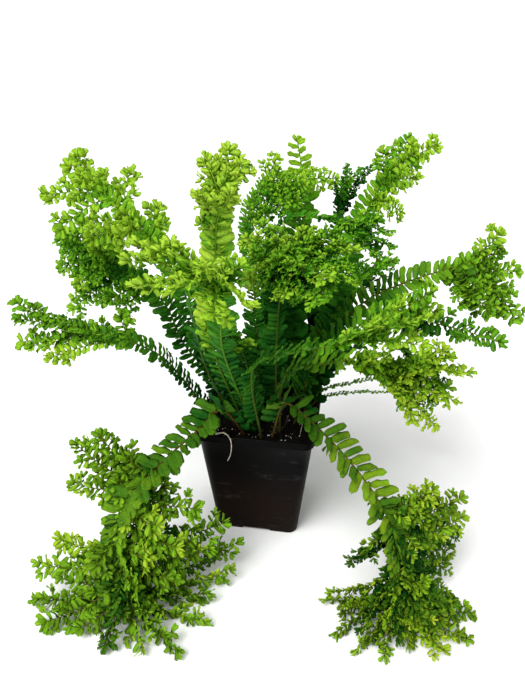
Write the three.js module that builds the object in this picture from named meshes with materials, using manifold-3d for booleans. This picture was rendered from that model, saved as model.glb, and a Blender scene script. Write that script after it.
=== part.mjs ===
// A crested button fern in a square plastic nursery pot.
// Millimetres, +Z up. The origin is the centre of the pot's underside; -Y is the front and +X the right.
import * as THREE from "three";
import { mergeVertices } from "three/addons/utils/BufferGeometryUtils.js";
import Module from "manifold-3d";

const wasm = await Module();
wasm.setup();

// ---------------------------------------------------------------- driving dimensions

const POT_TOP = 100; // outer width across the rim
const POT_BASE = 73; // outer width at the floor
const POT_HEIGHT = 110;
const POT_CORNER = 0.11; // corner radius, as a share of the width
const WALL = 1.6;
const RIM_HEIGHT = 7;
const RIM_STEP = 1.5; // how far the rim stands out from the wall
const NOTCH = { width: 26, height: 2.4, depth: 7 }; // drainage notch in the middle of each lower edge
const DRAIN = { radius: 4, offset: 20 }; // drain holes in the base
const GAP = 0.3; // clearance between pieces that touch

const SOIL_LEVEL = 100;
const SOIL_FLOOR = 2.4; // height of the soil's underside
const SOIL_LUMP = 1.2; // height of the lumps in the soil's surface

const RIB = { base: 1.1, end: 0.8, thick: 0.8, thin: 0.5 }; // half width and half thickness, base to tip
const CREST_RIB = 0.55; // half width of a crest branch's rib
const LEAF_HALF = 0.36; // half thickness of a leaflet
const LEAF_STEP = 16.5; // spacing of the leaflet pairs on a main rib
const CREST_STEP = 20.5; // spacing of the leaflet pairs on a crest's branches
const SWEEP = 0.28; // how far a leaflet leans forward, as a share of its length
const LEAF_SPAN = [0.2, 0.8]; // the part of a step that a leaflet's outer edge takes
const ROOM = { other: 4, own: 3 }; // least distance from another frond's points, and from the same frond's
const FLOOR = 1.2; // no leaflet is lower than this

// Each frond: its rib's points from the soil to the tip, and the tips of its crest's branches.
// leaf is the length of the rib's leaflets, small that of the crest's, bare the share of the rib without
// leaflets, fork the share where the crest may start, turn how far the upper face looks to the front.
const FRONDS = [
  {
    name: "frond_left_high",
    path: [
      [-34, 4, 95], [-55, -4, 182], [-63, -8, 220], [-78, -10, 252], [-104, -10, 280], [-126, -6, 302],
    ],
    tips: [
      [-141, 0, 318], [-106, 14, 304], [-162, -14, 292], [-83, 6, 280], [-148, -26, 270],
      [-122, -34, 266],
    ],
    leaf: 14, small: 12, bare: 0.3, fork: 0.62, turn: 40,
  },
  {
    name: "frond_left_mid",
    path: [
      [-28, 20, 95], [-48, 22, 122], [-74, 22, 154], [-88, 22, 190], [-104, 22, 208], [-124, 20, 220],
      [-144, 18, 228],
    ],
    tips: [
      [-179, 24, 244], [-174, 14, 226], [-160, 8, 212], [-166, 6, 190], [-120, 2, 193], [-143, 34, 243],
    ],
    leaf: 14, small: 12, bare: 0.3, fork: 0.55, turn: 35,
  },
  {
    name: "frond_left_low",
    path: [
      [-32, -18, 95], [-63, -30, 152], [-73, -40, 174], [-88, -48, 188], [-108, -54, 196],
      [-124, -58, 200],
    ],
    tips: [[-181, -52, 218], [-174, -62, 207], [-168, -70, 192], [-144, -82, 190], [-104, -40, 206]],
    leaf: 11, small: 9, bare: 0.26, fork: 0.5, turn: 20,
  },
  {
    name: "frond_column",
    path: [[-14, -10, 95], [-33, -36, 186], [-24, -58, 245], [-18, -70, 294], [-10, -74, 324]],
    tips: [[-23, -76, 333], [-6, -66, 337], [6, -64, 325], [4, -84, 310], [-28, -82, 314]],
    leaf: 16, small: 11, bare: 0.34, fork: 0.72, turn: 0,
  },
  {
    name: "frond_forward",
    path: [[-2, -20, 95], [-20, -58, 194], [-13, -90, 244], [-14, -110, 272], [-16, -120, 280]],
    tips: [
      [-66, -104, 272], [-58, -114, 258], [-32, -126, 266], [-6, -134, 256], [15, -136, 266],
      [9, -126, 286],
    ],
    leaf: 17, small: 13, bare: 0.34, fork: 0.7, turn: 0,
  },
  {
    name: "frond_back_arch",
    path: [[-4, 14, 95], [-11, 30, 198], [-18, 36, 249], [-16, 40, 277], [-4, 42, 295], [8, 42, 301]],
    tips: [[4, 50, 312], [28, 30, 296], [14, 26, 277], [51, 46, 299], [0, 34, 276]],
    leaf: 9, small: 11, bare: 0.4, fork: 0.72, turn: 0,
  },
  {
    name: "frond_centre",
    path: [[12, -2, 95], [13, -4, 196], [18, -10, 233], [28, -20, 255], [37, -26, 262]],
    tips: [
      [-9, -14, 266], [2, -38, 250], [24, -50, 236], [48, -54, 234], [70, -44, 246], [70, -20, 262],
      [57, -10, 272], [32, -12, 272], [1, 0, 274], [32, -46, 260],
    ],
    leaf: 11, small: 12, bare: 0.45, fork: 0.6, turn: 0,
  },
  {
    name: "frond_centre_right",
    path: [
      [6, 8, 95], [5, 16, 205], [2, 18, 246], [14, 18, 270], [40, 14, 276], [63, 8, 270], [76, 4, 264],
    ],
    tips: [[96, 4, 259], [90, -6, 249], [86, 16, 277], [94, 12, 268]],
    leaf: 9, small: 11, bare: 0.5, fork: 0.82, turn: 0,
  },
  {
    name: "frond_top",
    path: [[8, 26, 95], [14, 50, 191], [22, 60, 252], [24, 62, 293], [19, 60, 324]],
    tips: [],
    leaf: 14, small: 0, bare: 0.4, fork: 1, turn: 0,
  },
  {
    name: "frond_right_high",
    path: [
      [30, 18, 95], [56, 34, 182], [65, 40, 225], [72, 42, 262], [84, 40, 290], [98, 36, 312],
      [108, 32, 321],
    ],
    tips: [[86, 46, 319], [103, 42, 329], [122, 30, 327], [110, 18, 306], [102, 8, 284]],
    leaf: 12, small: 11, bare: 0.46, fork: 0.7, turn: 30,
  },
  {
    name: "frond_right_back",
    path: [[22, 30, 95], [48, 58, 188], [54, 68, 242], [56, 72, 272], [62, 72, 290]],
    tips: [[60, 74, 303], [78, 76, 302], [50, 64, 292]],
    leaf: 10, small: 9, bare: 0.45, fork: 0.8, turn: 0,
  },
  {
    name: "frond_right",
    path: [[34, 4, 95], [62, 6, 190], [84, 6, 215], [104, 4, 228], [142, 2, 245], [165, -2, 251]],
    tips: [[172, 6, 271], [187, -2, 246], [188, -20, 217], [168, -26, 222], [150, -30, 230]],
    leaf: 18, small: 12, bare: 0.36, fork: 0.76, turn: 40,
  },
  {
    name: "frond_right_mid",
    path: [[28, -8, 95], [48, -16, 173], [72, -28, 203], [96, -38, 222], [112, -44, 230]],
    tips: [[122, -58, 249], [128, -48, 231], [121, -40, 212], [176, -36, 205]],
    leaf: 15, small: 12, bare: 0.4, fork: 0.7, turn: 30,
  },
  {
    name: "frond_right_forward",
    path: [[4, -30, 95], [2, -56, 180], [29, -76, 204], [57, -90, 220], [78, -98, 231], [93, -102, 239]],
    tips: [[98, -114, 262], [114, -100, 248], [114, -106, 233], [84, -116, 250]],
    leaf: 18, small: 14, bare: 0.34, fork: 0.76, turn: 10,
  },
  {
    name: "frond_right_low",
    path: [[18, -22, 95], [25, -38, 165], [56, -50, 185], [77, -57, 192], [94, -60, 190], [110, -62, 184]],
    tips: [
      [136, -52, 204], [154, -58, 191], [146, -66, 172], [134, -72, 155], [118, -80, 162],
      [102, -70, 211],
    ],
    leaf: 16, small: 12, bare: 0.34, fork: 0.66, turn: 10,
  },
  {
    name: "frond_front_right",
    path: [
      [12, -30, 95], [26, -44, 144], [42, -48, 135], [59, -54, 123], [81, -64, 105], [98, -76, 87],
      [109, -84, 66], [116, -90, 38], [120, -94, 14],
    ],
    tips: [
      [143, -60, 86], [165, -58, 79], [169, -60, 61], [161, -66, 37], [140, -84, 57], [95, -92, 46],
      [68, -107, 5], [77, -135, 5], [93, -146, 4], [112, -148, 4], [129, -137, 5], [147, -127, 5],
      [154, -138, 5], [163, -98, 12], [177, -103, 5], [138, -104, 28],
    ],
    leaf: 16, small: 13, bare: 0.2, fork: 0.6, turn: 0,
  },
  {
    name: "frond_front_left",
    path: [
      [-8, -28, 95], [-28, -44, 132], [-42, -60, 122], [-56, -77, 114], [-69, -94, 105],
      [-81, -106, 96], [-89, -116, 84], [-92, -124, 64], [-89, -131, 40], [-82, -138, 14],
    ],
    tips: [
      [-129, -92, 121], [-112, -86, 127], [-91, -92, 114], [-130, -104, 94], [-142, -118, 48],
      [-158, -128, 29], [-156, -142, 5], [-141, -160, 5], [-112, -162, 5], [-88, -171, 4],
      [-62, -168, 4], [-36, -167, 4], [-23, -141, 5], [-25, -120, 10], [-12, -97, 14], [-9, -82, 28],
      [-17, -92, 65], [-35, -92, 81], [-57, -122, 83], [-45, -124, 62],
    ],
    leaf: 15, small: 13, bare: 0.2, fork: 0.45, turn: 0,
  },
  {
    name: "frond_back",
    path: [[2, 34, 95], [1, 70, 151], [3, 104, 184], [7, 130, 197], [12, 146, 193]],
    tips: [[-23, 144, 204], [4, 164, 166], [42, 154, 186], [18, 136, 220]],
    leaf: 15, small: 12, bare: 0.35, fork: 0.72, turn: 0,
  },
  {
    name: "frond_back_left",
    path: [[-18, 32, 95], [-45, 64, 150], [-89, 96, 197], [-122, 116, 218], [-138, 124, 222]],
    tips: [[-166, 124, 224], [-144, 146, 192], [-126, 130, 240]],
    leaf: 15, small: 12, bare: 0.3, fork: 0.72, turn: 0,
  },
  {
    name: "frond_back_right",
    path: [[26, 34, 95], [42, 66, 156], [67, 98, 185], [83, 118, 197], [92, 128, 196]],
    tips: [[108, 122, 208], [96, 148, 164], [66, 136, 202]],
    leaf: 15, small: 12, bare: 0.35, fork: 0.72, turn: 0,
  },
  {
    name: "frond_back_low_left",
    path: [[-26, 32, 95], [-34, 50, 121], [-54, 84, 136], [-72, 106, 133], [-84, 118, 118]],
    tips: [[-106, 116, 116], [-86, 132, 80], [-60, 124, 118]],
    leaf: 13, small: 12, bare: 0.25, fork: 0.72, turn: 0,
  },
  {
    name: "frond_back_low_right",
    path: [[36, 30, 95], [69, 52, 142], [98, 66, 150], [124, 74, 136], [138, 76, 121]],
    tips: [[164, 66, 122], [160, 86, 78], [124, 94, 88]],
    leaf: 13, small: 12, bare: 0.3, fork: 0.72, turn: 0,
  },
  {
    name: "frond_short",
    path: [[-6, -12, 95], [-8, -24, 157], [-10, -34, 182], [-13, -38, 195]],
    tips: [[-22, -42, 204], [-15, -48, 190], [-3, -42, 194]],
    leaf: 9, small: 9, bare: 0.4, fork: 0.75, turn: 0,
  },
  {
    name: "frond_inner_left",
    path: [[-22, -4, 95], [-43, -20, 154], [-48, -28, 194], [-51, -33, 224]],
    tips: [],
    leaf: 14, small: 0, bare: 0.3, fork: 1, turn: 0,
  },
];

const YOUNG = [
  { name: "young_frond_upper", path: [[34, 22, 97], [50, 24, 116.5], [77, 24, 127], [105, 20, 138]], leaf: 4 },
  { name: "young_frond_lower", path: [[36, 12, 97], [50, 12, 116], [78, 9, 126], [106, 3, 133]], leaf: 4 },
];
const YOUNG_STEP = 10;

const OLD_STALKS = [
  { name: "old_stalk_left", path: [[-18, -24, 95], [-20, -30, 112], [-19, -36, 126]] },
  { name: "old_stalk_right", path: [[18, -14, 95], [24, -24, 112], [26, -30, 123]] },
];
const STALK_RADIUS = 1;

const ROOTS = [
  {
    name: "root_over_rim",
    path: [
      [-30, -42, 101.4], [-30.5, -44.6, 109.5], [-31, -47, 111.6], [-30, -51, 113], [-27, -54, 116.5],
      [-22, -55, 118], [-18, -54.5, 113], [-17, -53, 104], [-18.5, -51, 94], [-22, -47.2, 84],
    ],
  },
];
const ROOT_RADIUS = 0.6;

const COLOURS = {
  plastic: { color: 0x17181a, roughness: 0.45, metalness: 0 },
  soil: { color: 0x1e1610, roughness: 1, metalness: 0 },
  leaf: { color: 0x4f8a12, roughness: 0.5, metalness: 0 },
  stalk: { color: 0x6b4a26, roughness: 0.8, metalness: 0 },
  root: { color: 0xcfc4a4, roughness: 0.7, metalness: 0 },
};

// ---------------------------------------------------------------- solids and meshes

const point = (xyz) => new THREE.Vector3(...xyz);
const curveThrough = (path) => new THREE.CatmullRomCurve3(path.map(point), false, "centripetal");

const WELD = 0.002; // points closer than this are one

// A closed geometry as a solid that can be joined and cut.
function solidOf(geometry) {
  const bare = geometry.clone();
  bare.deleteAttribute("normal");
  bare.deleteAttribute("uv");
  const merged = mergeVertices(bare, WELD);
  return new wasm.Manifold(
    new wasm.Mesh({
      numProp: 3,
      vertProperties: merged.attributes.position.array,
      triVerts: new Uint32Array(merged.index.array),
    }),
  );
}

// The largest body of a solid, without loose scraps or sealed hollows.
const wholeOf = (solid) => {
  const bodies = solid.decompose();
  return bodies.reduce((best, body) => (body.volume() > best.volume() ? body : best));
};

function geometryOf(solid) {
  const { vertProperties, triVerts } = wholeOf(solid).getMesh();
  return new THREE.BufferGeometry()
    .setAttribute("position", new THREE.BufferAttribute(new Float32Array(vertProperties), 3))
    .setIndex(new THREE.BufferAttribute(new Uint32Array(triVerts), 1));
}

// Welding again frees the slivers that a join leaves behind.
function meshOf(name, solid, colour) {
  const geometry = geometryOf(solidOf(geometryOf(solid)));
  geometry.computeVertexNormals();
  const mesh = new THREE.Mesh(geometry, new THREE.MeshStandardMaterial(COLOURS[colour]));
  mesh.name = name;
  return mesh;
}

function movePoints(geometry, move) {
  const position = geometry.attributes.position;
  const p = new THREE.Vector3();
  for (let i = 0; i < position.count; i++) {
    move(p.fromBufferAttribute(position, i));
    position.setXYZ(i, p.x, p.y, p.z);
  }
  return geometry;
}

// ---------------------------------------------------------------- pot and soil

const wallWidth = (z) => THREE.MathUtils.lerp(POT_BASE, POT_TOP - 2 * RIM_STEP, z / POT_HEIGHT);

function roundedSquare() {
  const a = 0.5 - POT_CORNER;
  const shape = new THREE.Shape();
  for (const [x, y, turn] of [[a, -a, -0.5], [a, a, 0], [-a, a, 0.5], [-a, -a, 1]])
    shape.absarc(x, y, POT_CORNER, turn * Math.PI, (turn + 0.5) * Math.PI);
  return shape;
}

// A block of the pot's plan between two heights, as wide at each height as widthAt says.
function draftedBlock(low, high, widthAt) {
  const block = new THREE.ExtrudeGeometry(roundedSquare(), {
    depth: high - low,
    steps: 1,
    bevelEnabled: false,
    curveSegments: 3,
  });
  return movePoints(block, (p) => {
    const z = low + p.z;
    p.set(p.x * widthAt(z), p.y * widthAt(z), z);
  });
}

function potSolid() {
  const rim = solidOf(draftedBlock(POT_HEIGHT - RIM_HEIGHT, POT_HEIGHT, () => POT_TOP));
  const cavity = solidOf(draftedBlock(WALL, POT_HEIGHT + 1, (z) => wallWidth(z) - 2 * WALL));
  let pot = solidOf(draftedBlock(0, POT_HEIGHT, wallWidth)).add(rim).subtract(cavity);
  for (const side of [0, 1, 2, 3]) {
    const notch = new THREE.BoxGeometry(NOTCH.width, 2 * NOTCH.depth, 2 * NOTCH.height)
      .translate(0, -POT_BASE / 2, 0)
      .rotateZ((side * Math.PI) / 2);
    const drain = new THREE.CylinderGeometry(DRAIN.radius, DRAIN.radius, 4 * WALL, 10)
      .rotateX(Math.PI / 2)
      .translate(DRAIN.offset, DRAIN.offset, 0)
      .rotateZ((side * Math.PI) / 2);
    pot = pot.subtract(solidOf(notch)).subtract(solidOf(drain));
  }
  return pot;
}

// Lumps in the soil, low enough to leave the rim clear.
const lump = (x, y) =>
  SOIL_LUMP * (Math.sin(0.31 * x + 1.3) * Math.cos(0.27 * y - 0.4) + 0.5 * Math.sin(0.52 * x - 0.44 * y));

function soilSolid() {
  const height = SOIL_LEVEL - SOIL_FLOOR;
  const block = new THREE.BoxGeometry(POT_TOP, POT_TOP, height, 5, 5, 1);
  block.translate(0, 0, SOIL_FLOOR + height / 2);
  movePoints(block, (p) => {
    if (p.z > SOIL_LEVEL - 1) p.z += lump(p.x, p.y);
  });
  const inside = draftedBlock(SOIL_FLOOR, POT_HEIGHT, (z) => wallWidth(z) - 2 * (WALL + GAP));
  return solidOf(block).intersect(solidOf(inside));
}

// ---------------------------------------------------------------- fronds

// Place, direction, side and upper face of a blade at a share of its curve.
function frameAt(curve, share, across) {
  const place = curve.getPointAt(share);
  const along = curve.getTangentAt(share);
  const side = across.clone().addScaledVector(along, -across.dot(along)).normalize();
  return { place, along, side, up: new THREE.Vector3().crossVectors(along, side) };
}

function frameBetween(a, b, share) {
  const mixed = {};
  for (const key of ["place", "along", "side", "up"]) mixed[key] = a[key].clone().lerp(b[key], share);
  return mixed;
}

// A thin closed skin: points with their normals and half thicknesses, the triangles of the upper face,
// and the outline that walls join the two faces along, counter-clockwise seen from above.
function thinSolid(points, triangles, outline) {
  const count = points.length;
  const positions = [1, -1].flatMap((face) =>
    points.flatMap(({ at, up, half }) => at.clone().addScaledVector(up, face * half).toArray()),
  );
  const index = triangles.flatMap(([a, b, c]) => [a, b, c, count + a, count + c, count + b]);
  outline.forEach((a, i) => {
    const b = outline[(i + 1) % outline.length];
    index.push(count + a, count + b, b, count + a, b, a);
  });
  const geometry = new THREE.BufferGeometry()
    .setAttribute("position", new THREE.Float32BufferAttribute(positions, 3))
    .setIndex(index.flat());
  return solidOf(geometry);
}

// Room taken by the fronds so far: points sorted into cells, each with its frond and its branch.
const taken = new Map();
const cellOf = (p) => [p.x, p.y, p.z].map((v) => Math.floor(v / ROOM.other));

function take(frond, branch, p) {
  const key = cellOf(p).join();
  if (!taken.has(key)) taken.set(key, []);
  taken.get(key).push({ frond, branch, p });
}

function isClearOfPot({ x, y, z }) {
  const half = z > POT_HEIGHT - RIM_HEIGHT - 2 ? POT_TOP / 2 : wallWidth(z) / 2;
  return z > POT_HEIGHT + 2 || Math.max(Math.abs(x), Math.abs(y)) > half + 2;
}

function isFree(frond, branch, p) {
  if (p.z < FLOOR || !isClearOfPot(p)) return false;
  const [x, y, z] = cellOf(p);
  for (let i = x - 1; i <= x + 1; i++)
    for (let j = y - 1; j <= y + 1; j++)
      for (let k = z - 1; k <= z + 1; k++)
        for (const other of taken.get([i, j, k].join()) ?? []) {
          if (other.frond === frond && other.branch === branch) continue;
          if (other.p.distanceTo(p) < (other.frond === frond ? ROOM.own : ROOM.other)) return false;
        }
  return true;
}

// The outer corners of the leaflet that grows between two frames, and points over its face.
function leaflet(from, to, hand, length, lift) {
  const reach = (share, part) => {
    const { place, along, side, up } = frameBetween(from, to, share);
    const out = side.multiplyScalar(hand).addScaledVector(along, SWEEP).addScaledVector(up, lift);
    return place.addScaledVector(out, part * length);
  };
  const face = [0.4, 0.7, 1].flatMap((part) => [...LEAF_SPAN, 0.5].map((share) => reach(share, part)));
  return { corners: LEAF_SPAN.map((share) => reach(share, 1)), face };
}

// Shares of a rib's length: a few down its bare stem, then one at each end of every leaflet.
function sharesOf(total, bare, step) {
  const pairs = Math.max(2, Math.round((total * (1 - bare)) / step));
  const stem = Math.max(1, Math.round((total * bare) / (1.6 * step)));
  const stemShares = Array.from({ length: stem }, (_, i) => (bare * i) / stem);
  const leafShares = Array.from({ length: pairs + 1 }, (_, i) => bare + ((1 - bare) * i) / (pairs + 0.5));
  return { stem, shares: [...stemShares, ...leafShares] };
}

// A rib along a curve with a leaflet to each side of every step past the bare stem, as one closed skin.
function comb({ frond, branch, curve, across, bare, step, lengthAt, ribAt, lift }) {
  const { stem, shares } = sharesOf(curve.getLength(), bare, step);
  const frames = shares.map((share) => frameAt(curve, share, across));
  const points = [];
  const put = (at, up, half) => points.push({ at, up, half }) - 1;
  const ribs = frames.map(({ place, side, up }, i) => {
    const { width, half } = ribAt(shares[i]);
    return [-1, 1].map((hand) => put(place.clone().addScaledVector(side, hand * width), up, half));
  });
  const triangles = [];
  const edges = [[], []]; // the outline's right and left halves, both from the foot up
  for (let i = 0; i < frames.length - 1; i++) {
    const [[r0, l0], [r1, l1]] = [ribs[i], ribs[i + 1]];
    triangles.push([r0, r1, l1], [r0, l1, l0]);
    [-1, 1].forEach((hand, which) => {
      edges[which].push(ribs[i][which]);
      if (i < stem) return;
      const length = lengthAt((shares[i] + shares[i + 1]) / 2);
      const rise = lift * (1 + 0.6 * Math.sin(5 * i + 2 * hand));
      const made = [1, 0.6].map((part) => leaflet(frames[i], frames[i + 1], hand, part * length, rise));
      const fits = made.find(({ face }) => face.every((p) => isFree(frond, branch, p)));
      if (!fits) return;
      fits.face.forEach((p) => take(frond, branch, p));
      const [a, b] = fits.corners.map((p) => put(p, frames[i].up, LEAF_HALF));
      edges[which].push(a, b);
      const [foot, head] = [ribs[i][which], ribs[i + 1][which]];
      triangles.push(hand < 0 ? [foot, a, b] : [foot, b, a], hand < 0 ? [foot, b, head] : [foot, head, b]);
    });
  }
  const [rEnd, lEnd] = ribs.at(-1);
  const end = frameAt(curve, 1, across);
  const tip = put(end.place, end.up, LEAF_HALF);
  triangles.push([rEnd, tip, lEnd]);
  return thinSolid(points, triangles, [...edges[0], rEnd, tip, lEnd, ...edges[1].reverse()]);
}

// The direction across a frond's run that lets its upper face look up, turned by some degrees to the front.
function acrossRun(curve, turn) {
  const run = curve.getPointAt(1).sub(curve.getPointAt(0));
  const slant = THREE.MathUtils.degToRad(turn);
  return new THREE.Vector3(0, -Math.sin(slant), Math.cos(slant)).cross(run).normalize();
}

// A crest branch leaves the rib at a leaflet's foot, a step or two before the one nearest to the branch's
// tip, and bends towards the tip.
function branchOf(rib, across, { bare, fork }, tip, number) {
  const end = point(tip);
  const far = (share) => rib.getPointAt(share).distanceTo(end);
  const feet = sharesOf(rib.getLength(), bare, LEAF_STEP).shares.filter((share) => share >= fork);
  const nearest = feet.reduce((best, share, i) => (far(share) < far(feet[best]) ? i : best), 0);
  const leave = feet[Math.max(0, nearest - 1 - (number % 2))];
  const { place, along, up } = frameAt(rib, leave, across);
  const bend = place.clone().addScaledVector(along, 0.35 * place.distanceTo(end));
  const curve = new THREE.QuadraticBezierCurve3(place, bend, end);
  return { curve, across: up.cross(end.clone().sub(place)).normalize() };
}

function layFrond(frond) {
  const rib = curveThrough(frond.path);
  const across = acrossRun(rib, frond.turn ?? 0);
  const branches = (frond.tips ?? []).map((tip, i) => branchOf(rib, across, frond, tip, i));
  [rib, ...branches.map(({ curve }) => curve)].forEach((curve, branch) => {
    for (const p of curve.getSpacedPoints(Math.ceil(curve.getLength() / 3))) take(frond.name, branch, p);
  });
  return { ...frond, rib, across, branches };
}

function frondSolid({ name, rib, across, branches, leaf, small, bare }) {
  const main = comb({
    frond: name,
    branch: 0,
    curve: rib,
    across,
    bare,
    step: LEAF_STEP,
    lift: 0.25,
    lengthAt: (share) => leaf * Math.sin(Math.PI * (0.25 + (0.6 * (share - bare)) / (1 - bare))),
    ribAt: (share) => ({
      width: THREE.MathUtils.lerp(RIB.base, RIB.end, share),
      half: THREE.MathUtils.lerp(RIB.thick, RIB.thin, share),
    }),
  });
  const combs = branches.map((branch, i) =>
    comb({
      frond: name,
      branch: i + 1,
      ...branch,
      bare: 0.16,
      step: CREST_STEP,
      lift: 0.35,
      lengthAt: (share) => small * (1.15 - 0.35 * share),
      ribAt: () => ({ width: CREST_RIB, half: LEAF_HALF }),
    }),
  );
  return combs.reduce((whole, part) => whole.add(part), main);
}

function youngSolid({ name, rib, across, leaf }) {
  return comb({
    frond: name,
    branch: 0,
    curve: rib,
    across,
    bare: 0.4,
    step: YOUNG_STEP,
    lift: 0.2,
    lengthAt: () => leaf,
    ribAt: () => ({ width: 0.6, half: 0.5 }),
  });
}

// ---------------------------------------------------------------- stalks, roots and the holes they stand in

// A round strand along a path, with few sides.
function strand(path, radius, steps, sides) {
  const section = new THREE.Shape(
    Array.from({ length: sides }, (_, i) => {
      const turn = (2 * Math.PI * i) / sides;
      return new THREE.Vector2(radius * Math.cos(turn), radius * Math.sin(turn));
    }),
  );
  const extrudePath = curveThrough(path);
  return solidOf(new THREE.ExtrudeGeometry(section, { steps, bevelEnabled: false, extrudePath }));
}

// A hole round a stem, from below its foot to above the soil.
function holeFor(path) {
  const curve = curveThrough(path);
  const length = curve.getLength();
  const foot = curve.getPointAt(0).addScaledVector(curve.getTangentAt(0), -1);
  const above = curve.getPointAt(Math.min(1, 12 / length));
  return strand([foot.toArray(), above.toArray()], 3 * RIB.base, 1, 3);
}

// ---------------------------------------------------------------- the whole plant

const root = new THREE.Group();
const fronds = FRONDS.map(layFrond);
const young = YOUNG.map(layFrond);
const holes = [...FRONDS, ...YOUNG, ...OLD_STALKS].map(({ path }) => holeFor(path));

root.add(meshOf("pot", potSolid(), "plastic"));
root.add(meshOf("soil", holes.reduce((rest, hole) => rest.subtract(hole), soilSolid()), "soil"));
for (const frond of fronds) root.add(meshOf(frond.name, frondSolid(frond), "leaf"));
for (const frond of young) root.add(meshOf(frond.name, youngSolid(frond), "leaf"));
for (const { name, path } of OLD_STALKS) root.add(meshOf(name, strand(path, STALK_RADIUS, 4, 5), "stalk"));
for (const { name, path } of ROOTS) root.add(meshOf(name, strand(path, ROOT_RADIUS, 24, 5), "root"));

export default root;
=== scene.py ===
"""A crested button fern in a square plastic nursery pot, laid out as an add-on."""

import math

import bmesh
import bpy
import numpy as np
from bpy.props import FloatProperty, FloatVectorProperty, IntProperty, PointerProperty
from mathutils import Euler, Matrix, Vector, noise


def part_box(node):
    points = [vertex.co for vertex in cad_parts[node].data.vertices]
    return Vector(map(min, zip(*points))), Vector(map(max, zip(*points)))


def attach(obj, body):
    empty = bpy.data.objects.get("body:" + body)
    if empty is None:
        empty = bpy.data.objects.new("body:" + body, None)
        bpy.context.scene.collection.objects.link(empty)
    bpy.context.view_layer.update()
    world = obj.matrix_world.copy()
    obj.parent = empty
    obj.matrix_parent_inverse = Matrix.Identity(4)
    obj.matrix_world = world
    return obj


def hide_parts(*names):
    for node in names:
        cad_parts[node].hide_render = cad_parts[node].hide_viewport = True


bl_info = {
    "name": "Crested Button Fern",
    "version": (1, 0, 0),
    "blender": (4, 5, 0),
    "location": "3D Viewport > Sidebar > Fern",
    "description": "Builds a crested button fern in its nursery pot",
    "category": "Object",
}

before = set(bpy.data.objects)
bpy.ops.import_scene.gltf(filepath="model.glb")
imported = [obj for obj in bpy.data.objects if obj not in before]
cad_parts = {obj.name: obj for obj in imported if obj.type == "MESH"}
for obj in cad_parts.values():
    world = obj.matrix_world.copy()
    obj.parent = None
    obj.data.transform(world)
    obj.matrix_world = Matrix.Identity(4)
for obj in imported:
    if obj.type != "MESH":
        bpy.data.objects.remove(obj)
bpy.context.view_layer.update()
POT_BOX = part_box("pot")

MM = 0.001

# What describes a frond, with the values that most fronds share. Lengths are in millimetres, shares are of
# the rib's length from the soil to the tip, and factors are of what the settings below give.
COMMON = dict(
    tips=(),  # ends of the crest's branches
    leaf=15,  # length of the rib's leaflets
    small=14,  # length of the crest's leaflets
    bare=0.3,  # share of the rib without full leaflets
    fork=0.72,  # share where the crest's branches may start
    turn=0,  # degrees that the upper face looks to the front
    tone=0.5,  # from dark green at 0 over grown green at 0.5 to fresh yellow green at 1
    olive=0.1,  # how far the green turns to brown green
    rachis=0.3,  # from a green rib at 0 to a red-brown one at 1
    crimp=0.5,  # from a crest of plain leaflets at 0 to one of tiny crinkled lobes at 1
    fill=1,  # number of side branches between two branches of the crest
    low=0.85,  # factor of the leaflets' length at the rib's foot
    ruff=0.3,  # share of the leaflets near the tip that carry a split one above them
    full=0.86,  # share of the rib where its leaflets leave the painted shade at its foot and reach the whole tone
    sag=0,  # how far the crest's branches hang down
    broad=1,  # factor of the rib leaflets' width
    shade=1,  # factor of the painted shade inside the plant
    lobes=1,  # factor of the crest leaflets' width
    gap=1,  # factor of the crest leaflets' spacing
)

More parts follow.
